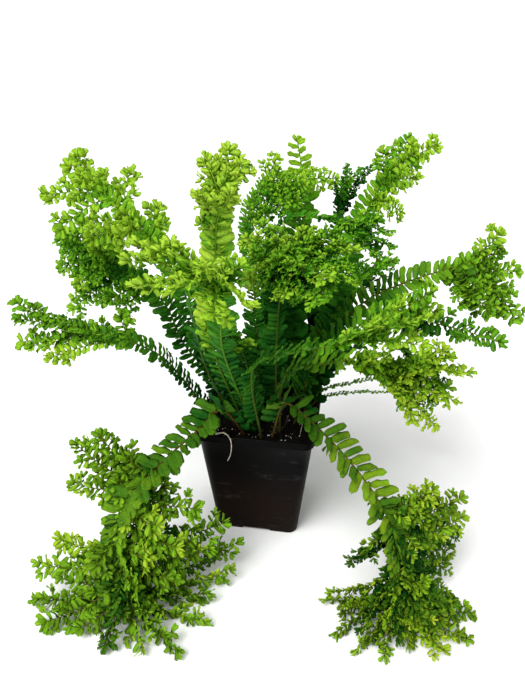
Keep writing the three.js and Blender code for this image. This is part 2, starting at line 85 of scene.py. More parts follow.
# The fronds by the solids that they replace: each rib's points from the soil to the tip, and what differs
# from the common values.
FRONDS = {
    "frond_left_high": dict(
        path=(
            (-34, 4, 95), (-55, -4, 182), (-63, -8, 220), (-78, -10, 252), (-104, -10, 280),
            (-126, -6, 302),
        ),
        tips=(
            (-141, 0, 318), (-106, 14, 304), (-162, -14, 292), (-83, 6, 280), (-148, -26, 270),
            (-122, -34, 266), (-144, -6, 311), (-126, -20, 274), (-104, -26, 266),
        ),
        leaf=12, small=15, fork=0.62, turn=40, tone=0.84, olive=0.15, rachis=0.1, crimp=0.3, fill=0,
        ruff=0.8, full=0.85, shade=0.75, lobes=1.1, gap=1.3,
    ),
    "frond_left_mid": dict(
        path=(
            (-28, 20, 95), (-48, 22, 122), (-74, 22, 154), (-88, 22, 190), (-104, 22, 208),
            (-124, 20, 220), (-144, 18, 228),
        ),
        tips=(
            (-179, 24, 244), (-174, 14, 226), (-160, 8, 212), (-166, 6, 190), (-120, 2, 193),
            (-143, 34, 243), (-173, 16, 252), (-154, 24, 259), (-138, 6, 247), (-130, -2, 203),
        ),
        leaf=14, small=15, fork=0.55, turn=35, tone=0.68, olive=0.2, rachis=0.2, crimp=0.7, ruff=0.5,
        full=1.1, shade=0.85, gap=1.15,
    ),
    "frond_left_low": dict(
        path=(
            (-32, -18, 95), (-63, -30, 152), (-73, -40, 174), (-88, -48, 188), (-108, -54, 196),
            (-124, -58, 200),
        ),
        tips=(
            (-181, -52, 218), (-174, -62, 210), (-172, -68, 194), (-144, -80, 189), (-104, -40, 206),
            (-143, -52, 207), (-162, -72, 193),
        ),
        leaf=11, small=12, bare=0.26, fork=0.5, turn=20, tone=0.55, olive=0.5, crimp=0, fill=0, low=0.9,
        ruff=0.5, full=1.1, lobes=1.1, gap=1.25,
    ),
    "frond_column": dict(
        path=((-14, -10, 95), (-33, -36, 186), (-24, -58, 245), (-18, -70, 294), (-10, -74, 324)),
        tips=(
            (-22, -76, 331), (-10, -66, 336), (-2, -66, 328), (-6, -82, 313), (-26, -80, 311),
            (-24, -62, 292),
        ),
        small=13, bare=0.34, tone=0.95, olive=0.2, rachis=0.1, crimp=0.3, low=0.62, ruff=1, full=0.5,
        broad=1.15, shade=0.45, gap=1.1,
    ),
    "frond_forward": dict(
        path=((-2, -20, 95), (-20, -58, 194), (-13, -90, 244), (-14, -110, 272), (-16, -120, 280)),
        tips=(
            (-66, -104, 276), (-58, -114, 264), (-32, -126, 268), (-6, -134, 256), (12, -134, 266),
            (7, -126, 284), (-60, -102, 284), (-39, -104, 286),
        ),
        leaf=13, small=15, bare=0.34, fork=0.7, tone=0.94, olive=0.08, rachis=0.1, crimp=0.15, fill=0,
        low=0.62, ruff=0.8, full=0.96, shade=0.85,
    ),
    "frond_back_arch": dict(
        path=((-4, 14, 95), (-11, 30, 198), (-18, 36, 249), (-16, 40, 277), (-4, 42, 295), (8, 42, 301)),
        tips=(
            (4, 50, 312), (28, 30, 296), (14, 26, 277), (51, 46, 299), (0, 34, 276), (-8, 28, 272),
            (24, 28, 282),
        ),
        leaf=9, bare=0.4, tone=0.62, crimp=0.9, low=1.5, ruff=0.5, gap=1.3,
    ),
    "frond_centre": dict(
        path=((12, -2, 95), (13, -4, 196), (18, -10, 233), (28, -20, 255), (37, -26, 262)),
        tips=(
            (-9, -14, 266), (2, -38, 250), (24, -50, 236), (48, -54, 234), (70, -44, 246), (70, -20, 262),
            (57, -10, 272), (32, -12, 272), (1, 0, 274), (32, -46, 260), (-8, -28, 238), (46, -22, 270),
            (14, -44, 260), (54, -50, 252),
        ),
        leaf=11, small=16, bare=0.45, fork=0.6, tone=0.71, olive=0, crimp=1, fill=2, low=1.35, ruff=0.5,
        gap=0.9,
    ),
    "frond_centre_right": dict(
        path=(
            (6, 8, 95), (5, 16, 205), (2, 18, 246), (14, 18, 270), (40, 14, 276), (63, 8, 270),
            (76, 4, 264),
        ),
        tips=((96, 4, 259), (90, -6, 249), (86, 16, 277), (94, 12, 268)),
        leaf=9, bare=0.5, fork=0.82, olive=0, rachis=1, crimp=0.7, low=1.5, ruff=0, shade=0.85,
    ),
    "frond_top": dict(
        path=((8, 26, 95), (14, 50, 191), (22, 60, 252), (24, 62, 293), (19, 60, 324)),
        leaf=17, small=0, bare=0.4, fork=1, tone=0.92, rachis=0.2, crimp=0, fill=0, low=1.7, ruff=0,
        broad=1.1,
    ),
    "frond_right_high": dict(
        path=(
            (30, 18, 95), (56, 34, 182), (65, 40, 225), (72, 42, 262), (84, 40, 290), (98, 36, 312),
            (108, 32, 321),
        ),
        tips=((86, 46, 319), (103, 42, 329), (122, 30, 327), (110, 18, 306), (102, 8, 284)),
        leaf=12, bare=0.46, fork=0.7, turn=30, tone=0.83, olive=0.2, crimp=0.6, fill=0, low=1.4, ruff=0.6,
    ),
    "frond_right_back": dict(
        path=((22, 30, 95), (48, 58, 188), (54, 68, 242), (56, 72, 272), (62, 72, 290)),
        tips=((60, 74, 303), (78, 76, 302), (50, 64, 292)),
        leaf=10, small=9, bare=0.45, fork=0.8, olive=0, crimp=0.6, low=1.9, ruff=0,
    ),
    "frond_right": dict(
        path=((34, 4, 95), (62, 6, 190), (84, 6, 215), (104, 4, 228), (142, 2, 245), (165, -2, 251)),
        tips=((172, 6, 271), (187, -2, 246), (188, -20, 217), (168, -26, 222), (150, -30, 230)),
        leaf=13, bare=0.36, fork=0.76, turn=40, tone=0.6, olive=0.7, rachis=1, crimp=0.6, low=1.5,
        ruff=0.15, broad=0.95, shade=0.8, gap=1.15,
    ),
    "frond_right_mid": dict(
        path=((28, -8, 95), (48, -16, 173), (72, -28, 203), (96, -38, 222), (112, -44, 230)),
        tips=((122, -58, 249), (128, -48, 231), (121, -40, 212), (176, -36, 205)),
        bare=0.4, fork=0.7, turn=30, tone=0.66, olive=0.35, rachis=0.4, crimp=0.4, fill=0, low=1.1,
        ruff=0.25, shade=0.8, gap=1.2,
    ),
    "frond_right_forward": dict(
        path=(
            (4, -30, 95), (2, -56, 180), (29, -76, 204), (57, -90, 220), (78, -98, 231), (93, -102, 239),
        ),
        tips=((98, -114, 262), (114, -100, 248), (114, -106, 233), (84, -116, 250)),
        leaf=13, small=13, bare=0.34, fork=0.76, turn=10, tone=0.73, olive=0.3, rachis=0.2, crimp=0.1,
        fill=0, ruff=0, full=0.95, broad=0.9, shade=0.7, gap=1.35,
    ),
    "frond_right_low": dict(
        path=(
            (18, -22, 95), (25, -38, 165), (56, -50, 185), (77, -57, 192), (94, -60, 190),
            (110, -62, 184),
        ),
        tips=(
            (136, -52, 204), (154, -58, 191), (146, -66, 172), (134, -72, 155), (118, -80, 162),
            (102, -70, 211),
        ),
        leaf=16, bare=0.34, fork=0.66, turn=10, tone=0.7, olive=0.75, rachis=0.4, crimp=0.7,
    ),
    "frond_front_right": dict(
        path=(
            (12, -30, 95), (26, -44, 144), (42, -48, 135), (59, -54, 123), (81, -64, 105), (100, -78, 88),
            (114, -92, 68), (119, -101, 42), (121, -108, 16),
        ),
        tips=(
            (143, -60, 86), (165, -58, 79), (169, -60, 61), (161, -66, 37), (140, -84, 57), (95, -92, 46),
            (68, -107, 5), (77, -135, 5), (93, -146, 4), (112, -148, 4), (129, -137, 5), (147, -127, 5),
            (154, -138, 5), (163, -98, 12), (177, -103, 5), (138, -104, 28), (160, -68, 22),
            (140, -80, 30), (172, -126, 5), (72, -106, 14), (128, -72, 62),
        ),
        leaf=19, small=15, bare=0.2, fork=0.6, tone=0.45, olive=1.5, rachis=0.6, crimp=0.6, low=0.9,
        ruff=0.1, full=0.45, sag=0.14, broad=0.85, lobes=0.85,
    ),
    "frond_front_left": dict(
        path=(
            (-8, -28, 95), (-28, -44, 132), (-42, -60, 122), (-56, -77, 114), (-69, -94, 105),
            (-81, -106, 96), (-89, -116, 84), (-92, -124, 64), (-89, -131, 40), (-82, -138, 14),
        ),
        tips=(
            (-129, -92, 121), (-112, -86, 127), (-91, -92, 114), (-130, -104, 94), (-142, -118, 48),
            (-158, -128, 29), (-156, -142, 5), (-141, -160, 5), (-112, -162, 5), (-88, -171, 4),
            (-62, -168, 4), (-36, -167, 4), (-23, -141, 5), (-25, -120, 10), (-12, -97, 14),
            (-9, -82, 28), (-17, -92, 58), (-37, -96, 74), (-60, -122, 78), (-45, -124, 60),
            (-62, -96, 92), (-60, -106, 76), (-38, -112, 56), (-26, -106, 44), (-64, -134, 58),
            (-46, -132, 36), (-71, -146, 42), (-103, -140, 48), (-128, -134, 22),
        ),
        leaf=18, small=17, bare=0.2, fork=0.45, turn=15, tone=0.56, olive=0.95, rachis=0.9, fill=0, low=1,
        ruff=0.25, full=0.8, sag=0.25, broad=1.15, lobes=0.85,
    ),
    "frond_back": dict(
        path=((2, 34, 95), (1, 70, 151), (3, 104, 184), (7, 130, 197), (12, 146, 193)),
        tips=((-23, 144, 204), (4, 164, 166), (42, 154, 186), (18, 136, 220)),
        bare=0.35, tone=0.6, low=0.9,
    ),
    "frond_back_left": dict(
        path=((-18, 32, 95), (-45, 64, 150), (-89, 96, 197), (-122, 116, 218), (-138, 124, 222)),
        tips=((-166, 124, 224), (-144, 146, 192), (-126, 130, 240)),
        tone=0.62,
    ),
    "frond_back_right": dict(
        path=((26, 34, 95), (42, 66, 156), (67, 98, 185), (83, 118, 197), (92, 128, 196)),
        tips=((108, 122, 208), (96, 148, 164), (66, 136, 202)),
        bare=0.35, tone=0.56, rachis=0.4,
    ),
    "frond_back_low_left": dict(
        path=((-26, 32, 95), (-34, 50, 121), (-54, 84, 136), (-72, 106, 133), (-84, 118, 118)),
        tips=((-106, 116, 116), (-86, 132, 80), (-60, 124, 118)),
        leaf=13, bare=0.25, olive=0.3, rachis=0.4, low=0.66,
    ),
    "frond_back_low_right": dict(
        path=((36, 30, 95), (69, 52, 142), (98, 66, 150), (124, 74, 136), (138, 76, 121)),
        tips=((164, 66, 122), (160, 86, 78), (124, 94, 88)),
        leaf=13, tone=0.46, olive=0.4, rachis=0.4, low=0.66,
    ),
    "frond_short": dict(
        path=((-6, -12, 95), (-8, -24, 157), (-10, -34, 182), (-13, -38, 195)),
        tips=((-22, -42, 204), (-15, -48, 190), (-3, -42, 194)),
        leaf=9, small=9, bare=0.4, fork=0.75, tone=0.6, rachis=0.1, crimp=0.3, low=1.4,
    ),
    "frond_inner_left": dict(
        path=((-22, -4, 95), (-43, -20, 154), (-48, -28, 194), (-51, -33, 224)),
        leaf=14, small=0, fork=1, tone=0.34, rachis=0.1, crimp=0, fill=0, ruff=0,
    ),
}

# The other ribs, stalks and roots: points in millimetres.
YOUNG = {
    "young_frond_upper": ((34, 22, 97), (50, 24, 116.5), (77, 24, 127), (105, 20, 138)),
    "young_frond_lower": ((36, 12, 97), (50, 12, 116), (78, 9, 126), (106, 3, 133)),
}

OLD_STALKS = {
    "old_stalk_left": ((-18, -24, 95), (-20, -30, 112), (-19, -36, 126)),
    "old_stalk_right": ((18, -14, 95), (24, -24, 112), (26, -30, 123)),
}

ROOT = (
    (-30, -42, 101.4), (-30.5, -44.6, 109.5), (-31, -47, 111.6), (-30, -51, 113), (-27, -54, 116.5),
    (-22, -55, 118), (-18, -54.5, 113), (-17, -53, 104), (-18.5, -51, 94), (-22, -47.2, 84),
)

FINE_ROOTS = (
    ((36, -6, 99), (37, -12, 104), (36.5, -18, 103), (36, -24, 101)),
    ((30, 8, 99), (33, 2, 106), (35, -5, 104), (34, -10, 100.5)),
)

FOOT_STEP = 16.5 * MM  # spacing of the places along a rib where a branch of its crest may start


# ---------------------------------------------------------------- settings


def length_setting(name, description, default):
    return FloatProperty(name=name, description=description, default=default, unit="LENGTH")


def share_setting(name, description, default):
    return FloatProperty(name=name, description=description, default=default, subtype="FACTOR")


def count_setting(name, description, default):
    return IntProperty(name=name, description=description, default=default, subtype="UNSIGNED")


def colour_setting(name, description, default):
    return FloatVectorProperty(name=name, description=description, default=default, subtype="COLOR", size=3)


class FernPotSettings(bpy.types.PropertyGroup):
    """Sizes and colours of the pot."""

    rim_width: length_setting("Rim Width", "Outer width across the rim", POT_BOX[1].x - POT_BOX[0].x)
    base_width: length_setting("Base Width", "Outer width at the floor", 0.073)
    height: length_setting("Height", "Height of the pot", POT_BOX[1].z)
    corner: share_setting("Corner", "Corner radius as a share of the width", 0.11)
    wall: length_setting("Wall", "Thickness of the wall", 0.0016)
    rim_height: length_setting("Rim Height", "Height of the rim's band", 0.007)
    rim_step: length_setting("Rim Step", "How far the rim stands out from the wall", 0.0015)
    drain: length_setting("Drain Hole", "Radius of the drain holes", 0.004)
    plastic: colour_setting("Plastic", "Colour of clean plastic", (0.0028, 0.0026, 0.0026))
    grime: colour_setting("Grime", "Colour of the dried soil on the plastic", (0.0085, 0.0045, 0.0028))
    dust: colour_setting("Dust", "Colour of scuffs and dust", (0.05, 0.05, 0.053))


class FernSoilSettings(bpy.types.PropertyGroup):
    """Sizes and colours of the potting mix."""

    level: length_setting("Level", "Height of the soil's surface", 0.1)
    underside: length_setting("Underside", "Height of the soil's underside", 0.0024)
    gap: length_setting("Gap", "Clearance between the soil and the wall", 0.0003)
    crumbs: count_setting("Crumbs", "Number of crumbs on the surface", 520)
    slivers: count_setting("Slivers", "Number of bark slivers on the surface", 90)
    grains: count_setting("Grains", "Number of white grains on the surface", 90)
    peat: colour_setting("Peat", "Colour of damp peat", (0.0028, 0.0019, 0.0013))
    dry: colour_setting("Dry Peat", "Colour of dry crumbs", (0.016, 0.01, 0.006))
    mineral: colour_setting("Mineral", "Colour of a clean grain", (0.62, 0.6, 0.55))
    stain: colour_setting("Stain", "Colour of a soiled grain", (0.16, 0.12, 0.08))


class FernFrondSettings(bpy.types.PropertyGroup):
    """Sizes and colours of the fronds."""

    leaflet_step: share_setting(
        "Leaflet Step", "Spacing of a rib's leaflets on one side, as a share of their length", 0.38
    )
    leaflet_width: share_setting(
        "Leaflet Width", "Half width of a rib's leaflet as a share of its length", 0.215
    )
    crest_step: share_setting(
        "Crest Step", "Spacing of a crest branch's leaflets on one side, as a share of their length", 0.215
    )
    crest_width: share_setting(
        "Crest Leaflet Width", "Half width of a crest's leaflet as a share of its length", 0.245
    )
    thickness: length_setting("Thickness", "Thickness in the middle of a leaflet", 0.00045)
    rib_base: length_setting("Rib Radius", "Radius of a rib at the soil", 0.0011)
    rib_end: length_setting("Rib End Radius", "Radius of a rib at its tip", 0.0005)
    # Painted shade: how far the tone of leaflets hidden inside the plant is lowered.
    inner_shade: share_setting(
        "Inner Shade", "How much darker the tone of the leaflets inside the plant is", 0.52
    )
    # Points towards the key light: leaflets hidden from it by others get the painted shade.
    outside: FloatVectorProperty(
        name="Outside",
        description="The direction that the fresh leaflets look to",
        default=(-0.22, -0.46, 0.86),
        subtype="DIRECTION",
        size=3,
    )
    seed: count_setting("Seed", "Seed of every random draw in the fronds", 11)
    shade: colour_setting("Old Leaf", "Colour of the oldest leaflets", (0.0012, 0.015, 0.0008))
    dark: colour_setting("Dark Leaf", "Colour of old leaflets", (0.0085, 0.095, 0.0065))
    middle: colour_setting("Grown Leaf", "Colour of grown leaflets", (0.04, 0.225, 0.011))
    fresh: colour_setting("Fresh Leaf", "Colour of fresh leaflets", (0.148, 0.44, 0.016))
    tip: colour_setting("Crest Tip", "Colour of the newest lobes of a crest", (0.345, 0.61, 0.036))
    rachis: colour_setting("Rachis", "Colour of an old rib", (0.17, 0.05, 0.014))


class FernSmallSettings(bpy.types.PropertyGroup):
    """Sizes and colours of the old stalks, scales and roots."""

    stalk_radius: length_setting("Stalk Radius", "Radius of an old stalk", 0.001)
    root_radius: length_setting("Root Radius", "Radius of the root over the rim", 0.00055)
    scales: count_setting("Scales", "Number of scales at the foot of each rib", 9)
    hairs: count_setting("Hairs", "Number of hairs at the foot of each rib", 7)
    root_hairs: count_setting("Root Hairs", "Number of hairs along the root", 26)
    stalk: colour_setting("Stalk", "Colour of an old stalk", (0.075, 0.036, 0.014))
    scale: colour_setting("Scale", "Colour of the scales", (0.055, 0.028, 0.012))
    root: colour_setting("Root", "Colour of a bare root", (0.62, 0.56, 0.42))


class FernStageSettings(bpy.types.PropertyGroup):
    """Floor, camera and light."""

    lens: FloatProperty(name="Lens", description="Focal length of the camera", default=30.32, unit="CAMERA")
    eye: FloatVectorProperty(
        name="Camera Place",
        description="Where the camera stands",
        default=(0.06832, -0.43103, 0.3948),
        subtype="TRANSLATION",
        unit="LENGTH",
        size=3,
    )
    turn: FloatVectorProperty(
        name="Camera Turn",
        description="How the camera is turned from looking straight down",
        default=[math.radians(angle) for angle in (62.327, 0.023, 8.974)],
        subtype="EULER",
        unit="ROTATION",
        size=3,
    )
    floor_size: length_setting("Floor Size", "Radius of the floor", 90.0)
    floor: colour_setting("Floor", "Colour of the floor", (0.93, 0.93, 0.925))
    sky: FloatProperty(
        name="Surround", description="Strength of the even light from all round", default=0.56
    )
    backdrop: FloatProperty(
        name="Backdrop", description="Brightness of the surround behind the plant", default=1.05
    )
    key: FloatProperty(name="Key Light", description="Strength of the main soft light", default=3.3)
    spread: FloatProperty(
        name="Key Light Spread",
        description="Angle across the main light, which softens its shadows",
        default=math.radians(38),
        subtype="ANGLE",
    )
    fill: FloatProperty(
        name="Fill Light", description="Power of the weaker soft light", default=5.0, unit="POWER"
    )


# ---------------------------------------------------------------- materials


class Nodes:
    """Adds and joins the shader nodes of one material."""

    def __init__(self, name):
        self.material = bpy.data.materials.new(name)
        self.material.use_nodes = True
        self.tree = self.material.node_tree
        self.shader = self.tree.nodes["Principled BSDF"]
        self.place = self.add("TexCoord").outputs["Object"]

    def add(self, kind, inputs=None, **settings):
        node = self.tree.nodes.new("ShaderNode" + kind)
        for key, value in settings.items():
            setattr(node, key, value)
        for key, value in (inputs or {}).items():
            self.set(node.inputs[key], value)
        return node

    def set(self, socket, value):
        if isinstance(value, bpy.types.NodeSocket):
            self.tree.links.new(value, socket)
        elif hasattr(value, "__len__") and len(value) == 3 and socket.type == "RGBA":
            socket.default_value = (*value, 1)
        else:
            socket.default_value = value

    def math(self, operation, a, b=0.0):
        return self.add("Math", {0: a, 1: b}, operation=operation).outputs[0]

    def plus(self, a, b):
        return self.math("ADD", a, b)

    def times(self, a, b):
        return self.math("MULTIPLY", a, b)

    def most(self, a, b):
        return self.math("MAXIMUM", a, b)

    def noise(self, scale, detail=3.0, stretch=(1, 1, 1), roughness=0.5):
        """A noise pattern of so many waves a metre."""
        mapped = self.add("Mapping", {"Vector": self.place, "Scale": stretch}).outputs[0]
        inputs = {"Vector": mapped, "Scale": scale, "Detail": detail, "Roughness": roughness}
        return self.add("TexNoise", inputs).outputs["Fac"]

    def band(self, value, low, high, to_low=0.0, to_high=1.0):
        """A value mapped smoothly from one range to another."""
        inputs = {"Value": value, "From Min": low, "From Max": high, "To Min": to_low, "To Max": to_high}
        return self.add("MapRange", inputs, interpolation_type="SMOOTHSTEP").outputs[0]

    def ramp(self, value, stops):
        """Colours at places along a value."""
        made = self.add("ValToRGB", {0: value})
        ramp = made.color_ramp
        while len(ramp.elements) < len(stops):
            ramp.elements.new(1.0)
        for element, (place, colour) in zip(ramp.elements, stops):
            element.position = place
            element.color = (*colour, 1)
        return made.outputs["Color"]

    def mix(self, share, a, b, blend="MIX"):
        made = self.add("Mix", data_type="RGBA", blend_type=blend, clamp_factor=True)
        self.set(made.inputs[0], share)
        self.set(made.inputs[6], a)
        self.set(made.inputs[7], b)
        return made.outputs[2]

    def tint(self, colour, by):
        """A colour multiplied by another."""
        return self.mix(1.0, colour, by, "MULTIPLY")

    def attribute(self, name):
        return self.add("Attribute", attribute_name=name).outputs["Fac"]

    def bump(self, height, strength, distance):
        inputs = {"Height": height, "Strength": strength, "Distance": distance}
        self.set(self.shader.inputs["Normal"], self.add("Bump", inputs).outputs[0])

    def finish(self, **sockets):
        for key, value in sockets.items():
            self.set(self.shader.inputs[key.replace("_", " ")], value)
        return self.material


def plastic_material(look):
    """Black moulded plastic with dried soil low down, scuffs, dust and a fine grain."""
    nodes = Nodes("moulded_black_plastic")
    height = nodes.add("SeparateXYZ", {0: nodes.place}).outputs["Z"]
    low = nodes.band(height, 85 * MM, 30 * MM)
    patches = nodes.noise(38, 4)
    grime = nodes.times(low, nodes.band(patches, 0.25, 0.62, 0.45, 1.0))
    colour = nodes.mix(grime, look.plastic, look.grime)
    clouds = nodes.noise(26, 5, (1.0, 1.0, 1.8), 0.62)
    fine = nodes.noise(420, 3, (0.35, 0.35, 1.0))
    scuffs = nodes.times(nodes.band(clouds, 0.56, 0.74), nodes.band(fine, 0.42, 0.66))
    streaks = nodes.band(nodes.noise(170, 2, (0.16, 0.16, 1.0)), 0.66, 0.78, 0.0, 0.55)
    streaks = nodes.times(streaks, nodes.band(clouds, 0.42, 0.6))
    specks = nodes.band(nodes.noise(950, 1), 0.73, 0.8, 0.0, 0.8)
    specks = nodes.times(specks, nodes.band(patches, 0.45, 0.6))
    dust = nodes.most(nodes.most(scuffs, streaks), specks)
    colour = nodes.mix(nodes.times(dust, 0.75), colour, look.dust)
    rough = nodes.plus(nodes.band(patches, 0.3, 0.7, 0.3, 0.46), nodes.times(dust, 0.3))
    nodes.bump(nodes.plus(nodes.noise(2600, 2), nodes.times(nodes.noise(60, 3), 6.0)), 0.25, 0.08 * MM)
    return nodes.finish(Base_Color=colour, Roughness=rough, Specular_IOR_Level=0.03)


def soil_material(look):
    """Damp peat with drier crumbs."""
    nodes = Nodes("damp_peat")
    crumb = nodes.noise(420, 6, roughness=0.7)
    dry = nodes.times(nodes.band(crumb, 0.5, 0.72), nodes.band(nodes.noise(60, 3), 0.35, 0.7))
    colour = nodes.mix(nodes.most(dry, nodes.attribute("tone")), look.peat, look.dry)
    rough = nodes.band(crumb, 0.3, 0.7, 0.95, 0.7)
    nodes.bump(nodes.plus(crumb, nodes.noise(1500, 4)), 0.8, 0.6 * MM)
    return nodes.finish(Base_Color=colour, Roughness=rough, Specular_IOR_Level=0.1)


def grain_material(look):
    """Porous white mineral grains, a little soiled."""
    nodes = Nodes("white_mineral_grains")
    soiled = nodes.band(nodes.noise(900, 3), 0.45, 0.7)
    nodes.bump(nodes.noise(3000, 3), 0.5, 0.2 * MM)
    colour = nodes.mix(soiled, look.mineral, look.stain)
    return nodes.finish(Base_Color=colour, Roughness=nodes.band(soiled, 0, 1, 0.8, 0.95))


# What a leaflet's green is multiplied by.
OLIVE_TINT = (1.85, 0.9, 0.85)  # where it turns brown green
VEIN_TINT = (1.35, 1.27, 1.3)  # on its midrib and veins
MARGIN_HIGHLIGHT_TINT = (1.75, 1.5, 1.5)  # painted highlight along its margin
UNDERSIDE_TINT = (1.35, 1.15, 1.7)
THROUGH_TINT = (1.15, 1.2, 0.7)  # for the light that shines through
GREEN_RIB = (0.25, 0.33, 0.04)  # colour that a young rib leans to


def leaf_material(look):
    """Fern leaflets and their ribs: dark to fresh green by age and by painted shade inside the plant, with
    midrib, veins and a painted highlight along the margin.
    """
    nodes = Nodes("fern_leaf")
    away = nodes.math("ABSOLUTE", nodes.attribute("across"))
    patch = nodes.band(nodes.noise(75, 3), 0.25, 0.75, -0.07, 0.07)
    fleck = nodes.band(nodes.noise(600, 2), 0.3, 0.7, -0.035, 0.035)
    tone = nodes.plus(nodes.attribute("tone"), nodes.plus(patch, fleck))
    ages = (look.shade, look.dark, look.middle, look.fresh, look.tip)
    green = nodes.ramp(tone, [(i / 4, colour) for i, colour in enumerate(ages)])
    aged = nodes.times(nodes.attribute("olive"), nodes.band(tone, 0.2, 0.4))
    aged = nodes.times(aged, nodes.band(tone, 0.5, 0.8, 1.0, 0.25))
    green = nodes.tint(green, nodes.mix(aged, (1, 1, 1), OLIVE_TINT))
    vein = nodes.plus(nodes.times(nodes.attribute("along"), 52.0), nodes.times(away, -9.0))
    vein = nodes.math("SINE", vein)
    midrib = nodes.band(away, 0.16, 0.02)
    pale = nodes.tint(green, VEIN_TINT)
    green = nodes.mix(nodes.times(midrib, 0.75), green, pale)
    green = nodes.mix(nodes.band(vein, 0.2, 1.0, 0.0, 0.16), green, pale)
    # Painted highlight: a light rim along each leaflet's margin.
    edge = nodes.band(nodes.attribute("margin"), 0.6, 1.0, 0.0, 0.5)
    green = nodes.mix(edge, green, nodes.tint(green, MARGIN_HIGHLIGHT_TINT))
    green = nodes.mix(nodes.attribute("under"), green, nodes.tint(green, UNDERSIDE_TINT))
    stem = nodes.attribute("stem")
    worn = nodes.times(nodes.attribute("brown"), nodes.band(nodes.noise(160, 2), 0.2, 0.6, 0.55, 1.0))
    bark = nodes.mix(worn, nodes.mix(0.25, green, GREEN_RIB), look.rachis)
    colour = nodes.mix(stem, green, bark)
    rough = nodes.band(nodes.noise(220, 3), 0.3, 0.7, 0.42, 0.6)
    relief = nodes.plus(nodes.times(vein, 0.5), nodes.times(midrib, -1.6))
    relief = nodes.times(relief, nodes.math("SUBTRACT", 1.0, stem))
    nodes.bump(nodes.plus(relief, nodes.noise(1400, 2)), 0.35, 0.16 * MM)
    nodes.finish(Base_Color=colour, Roughness=rough, Specular_IOR_Level=0.06)
    glow = nodes.add("BsdfTranslucent", {"Color": nodes.tint(colour, THROUGH_TINT)})
    both = nodes.add("MixShader", {0: 0.3, 1: nodes.shader.outputs[0], 2: glow.outputs[0]})
    nodes.set(nodes.tree.nodes["Material Output"].inputs[0], both.outputs[0])
    return nodes.material


def fibre_material(name, colour, darkest):
    """Dry plant fibre with stretches as dark as a share of its colour."""
    nodes = Nodes(name)
    patch = nodes.band(nodes.noise(240, 3), 0.3, 0.7)
    made = nodes.mix(patch, tuple(darkest * c for c in colour), colour)
    nodes.bump(nodes.noise(1800, 3, (1, 1, 0.3)), 0.6, 0.2 * MM)
    return nodes.finish(Base_Color=made, Roughness=nodes.band(patch, 0, 1, 0.85, 0.65))


# ---------------------------------------------------------------- repeated shapes


def unit(v):
    return v / np.linalg.norm(v, axis=-1, keepdims=True)


def alternating(count):
    """The hands, 1 and -1, of leaflets that take turns on a line's two sides."""
    return np.where(np.arange(count) % 2, 1.0, -1.0)


def mesh_from(bm, name):
    mesh = bpy.data.meshes.new(name)
    bm.to_mesh(mesh)
    bm.free()
    return mesh


def taken(bm, name):
    """A layer's values at the corners, which are zeros where there is none. The layer goes."""
    layer = bm.verts.layers.float.get(name)
    values = np.array([v[layer] if layer else 0.0 for v in bm.verts])
    if layer:
        bm.verts.layers.float.remove(layer)
    return values


class Pattern:
    """A small closed shape that is repeated: its bmesh, and where each corner lies in it.

    side is 1 on the upper face, -1 on the lower and 0 at the margin. across is -1 to 1 over the width.
    """

    def __init__(self, bm):
        self.side, self.across = taken(bm, "side"), taken(bm, "across")
        self.x, self.y, self.z = np.array([v.co[:] for v in bm.verts]).T
        self.bm = bm

    def copies(self, count):
        """A bmesh of so many copies in order, doubled until there are enough."""
        bm = self.bm.copy()
        sizes = len(bm.verts), len(bm.edges), len(bm.faces)
        done = 1
        while done < count:
            more = min(done, count - done)
            geometry = []
            for rows, size in zip((bm.verts, bm.edges, bm.faces), sizes):
                rows.ensure_lookup_table()
                geometry += rows[: more * size]
            bmesh.ops.duplicate(bm, geom=geometry)
            done += more
        return bm


LENS = 0.05  # how far the two faces are held apart while their margins are joined


def blade(stations, widths, columns, shape):
    """A closed leaflet of unit length and unit half width, through rows at stations with their own widths.

    shape gives the height of a place and how far it draws back.
    """
    bm = bmesh.new()
    rows = len(stations) - 1
    bmesh.ops.create_grid(bm, x_segments=rows, y_segments=columns, size=0.5)
    side = bm.verts.layers.float.new("side")
    across = bm.verts.layers.float.new("across")
    for v in bm.verts:
        row = round((v.co.x + 0.5) * rows)
        place = 2 * v.co.y
        height, back = shape(stations[row], place)
        v.co = (stations[row] - back, place * widths[row], height)
        v[across] = place
        v[side] = 0 if row in (0, rows) or abs(place) > 0.99 else 1
    under = bmesh.ops.duplicate(bm, geom=bm.verts[:] + bm.edges[:] + bm.faces[:])["geom"]
    bmesh.ops.reverse_faces(bm, faces=[f for f in under if isinstance(f, bmesh.types.BMFace)])
    for v in under:
        if isinstance(v, bmesh.types.BMVert):
            v[side] = -v[side]
    for v in bm.verts:
        v.co.z += LENS * v[side]
    bmesh.ops.remove_doubles(bm, verts=bm.verts[:], dist=1e-4)
    pattern = Pattern(bm)
    pattern.z -= LENS * pattern.side
    return pattern


def waved(stations, widths, columns, depth, run, turn, offset, fold, back):
    """A maker of blunt leaflets that are folded up along their midrib and waved at their margins.

    depth is the waves' height and fold the margins' rise, both as shares of the half width. run is the angle
    that the waves pass along a leaflet, turn the angle between two variants, offset the one between the two
    sides, and back how far the corners of its end draw back.
    """

    def variant(number):
        def shape(u, v):
            wave = depth * math.sin(run * u + turn * number + (offset if v > 0 else 0)) * v * v
            return fold * abs(v) + wave, back * v * v if u == 1 else 0

        return blade(stations, widths, columns, shape)

    return variant


def wedge(number):
    """A waved leaflet that splits into three blunt fingers."""

    def shape(u, v):
        back = 0.58 if abs(abs(v) - 0.33) < 0.1 else 0.26 * v * v
        return u * 0.55 * math.sin(5.2 * v + 1.9 * number) + 0.25 * u * u, back if u == 1 else 0

    return blade((0, 0.4, 1), (0.34, 0.58, 1), 6, shape)


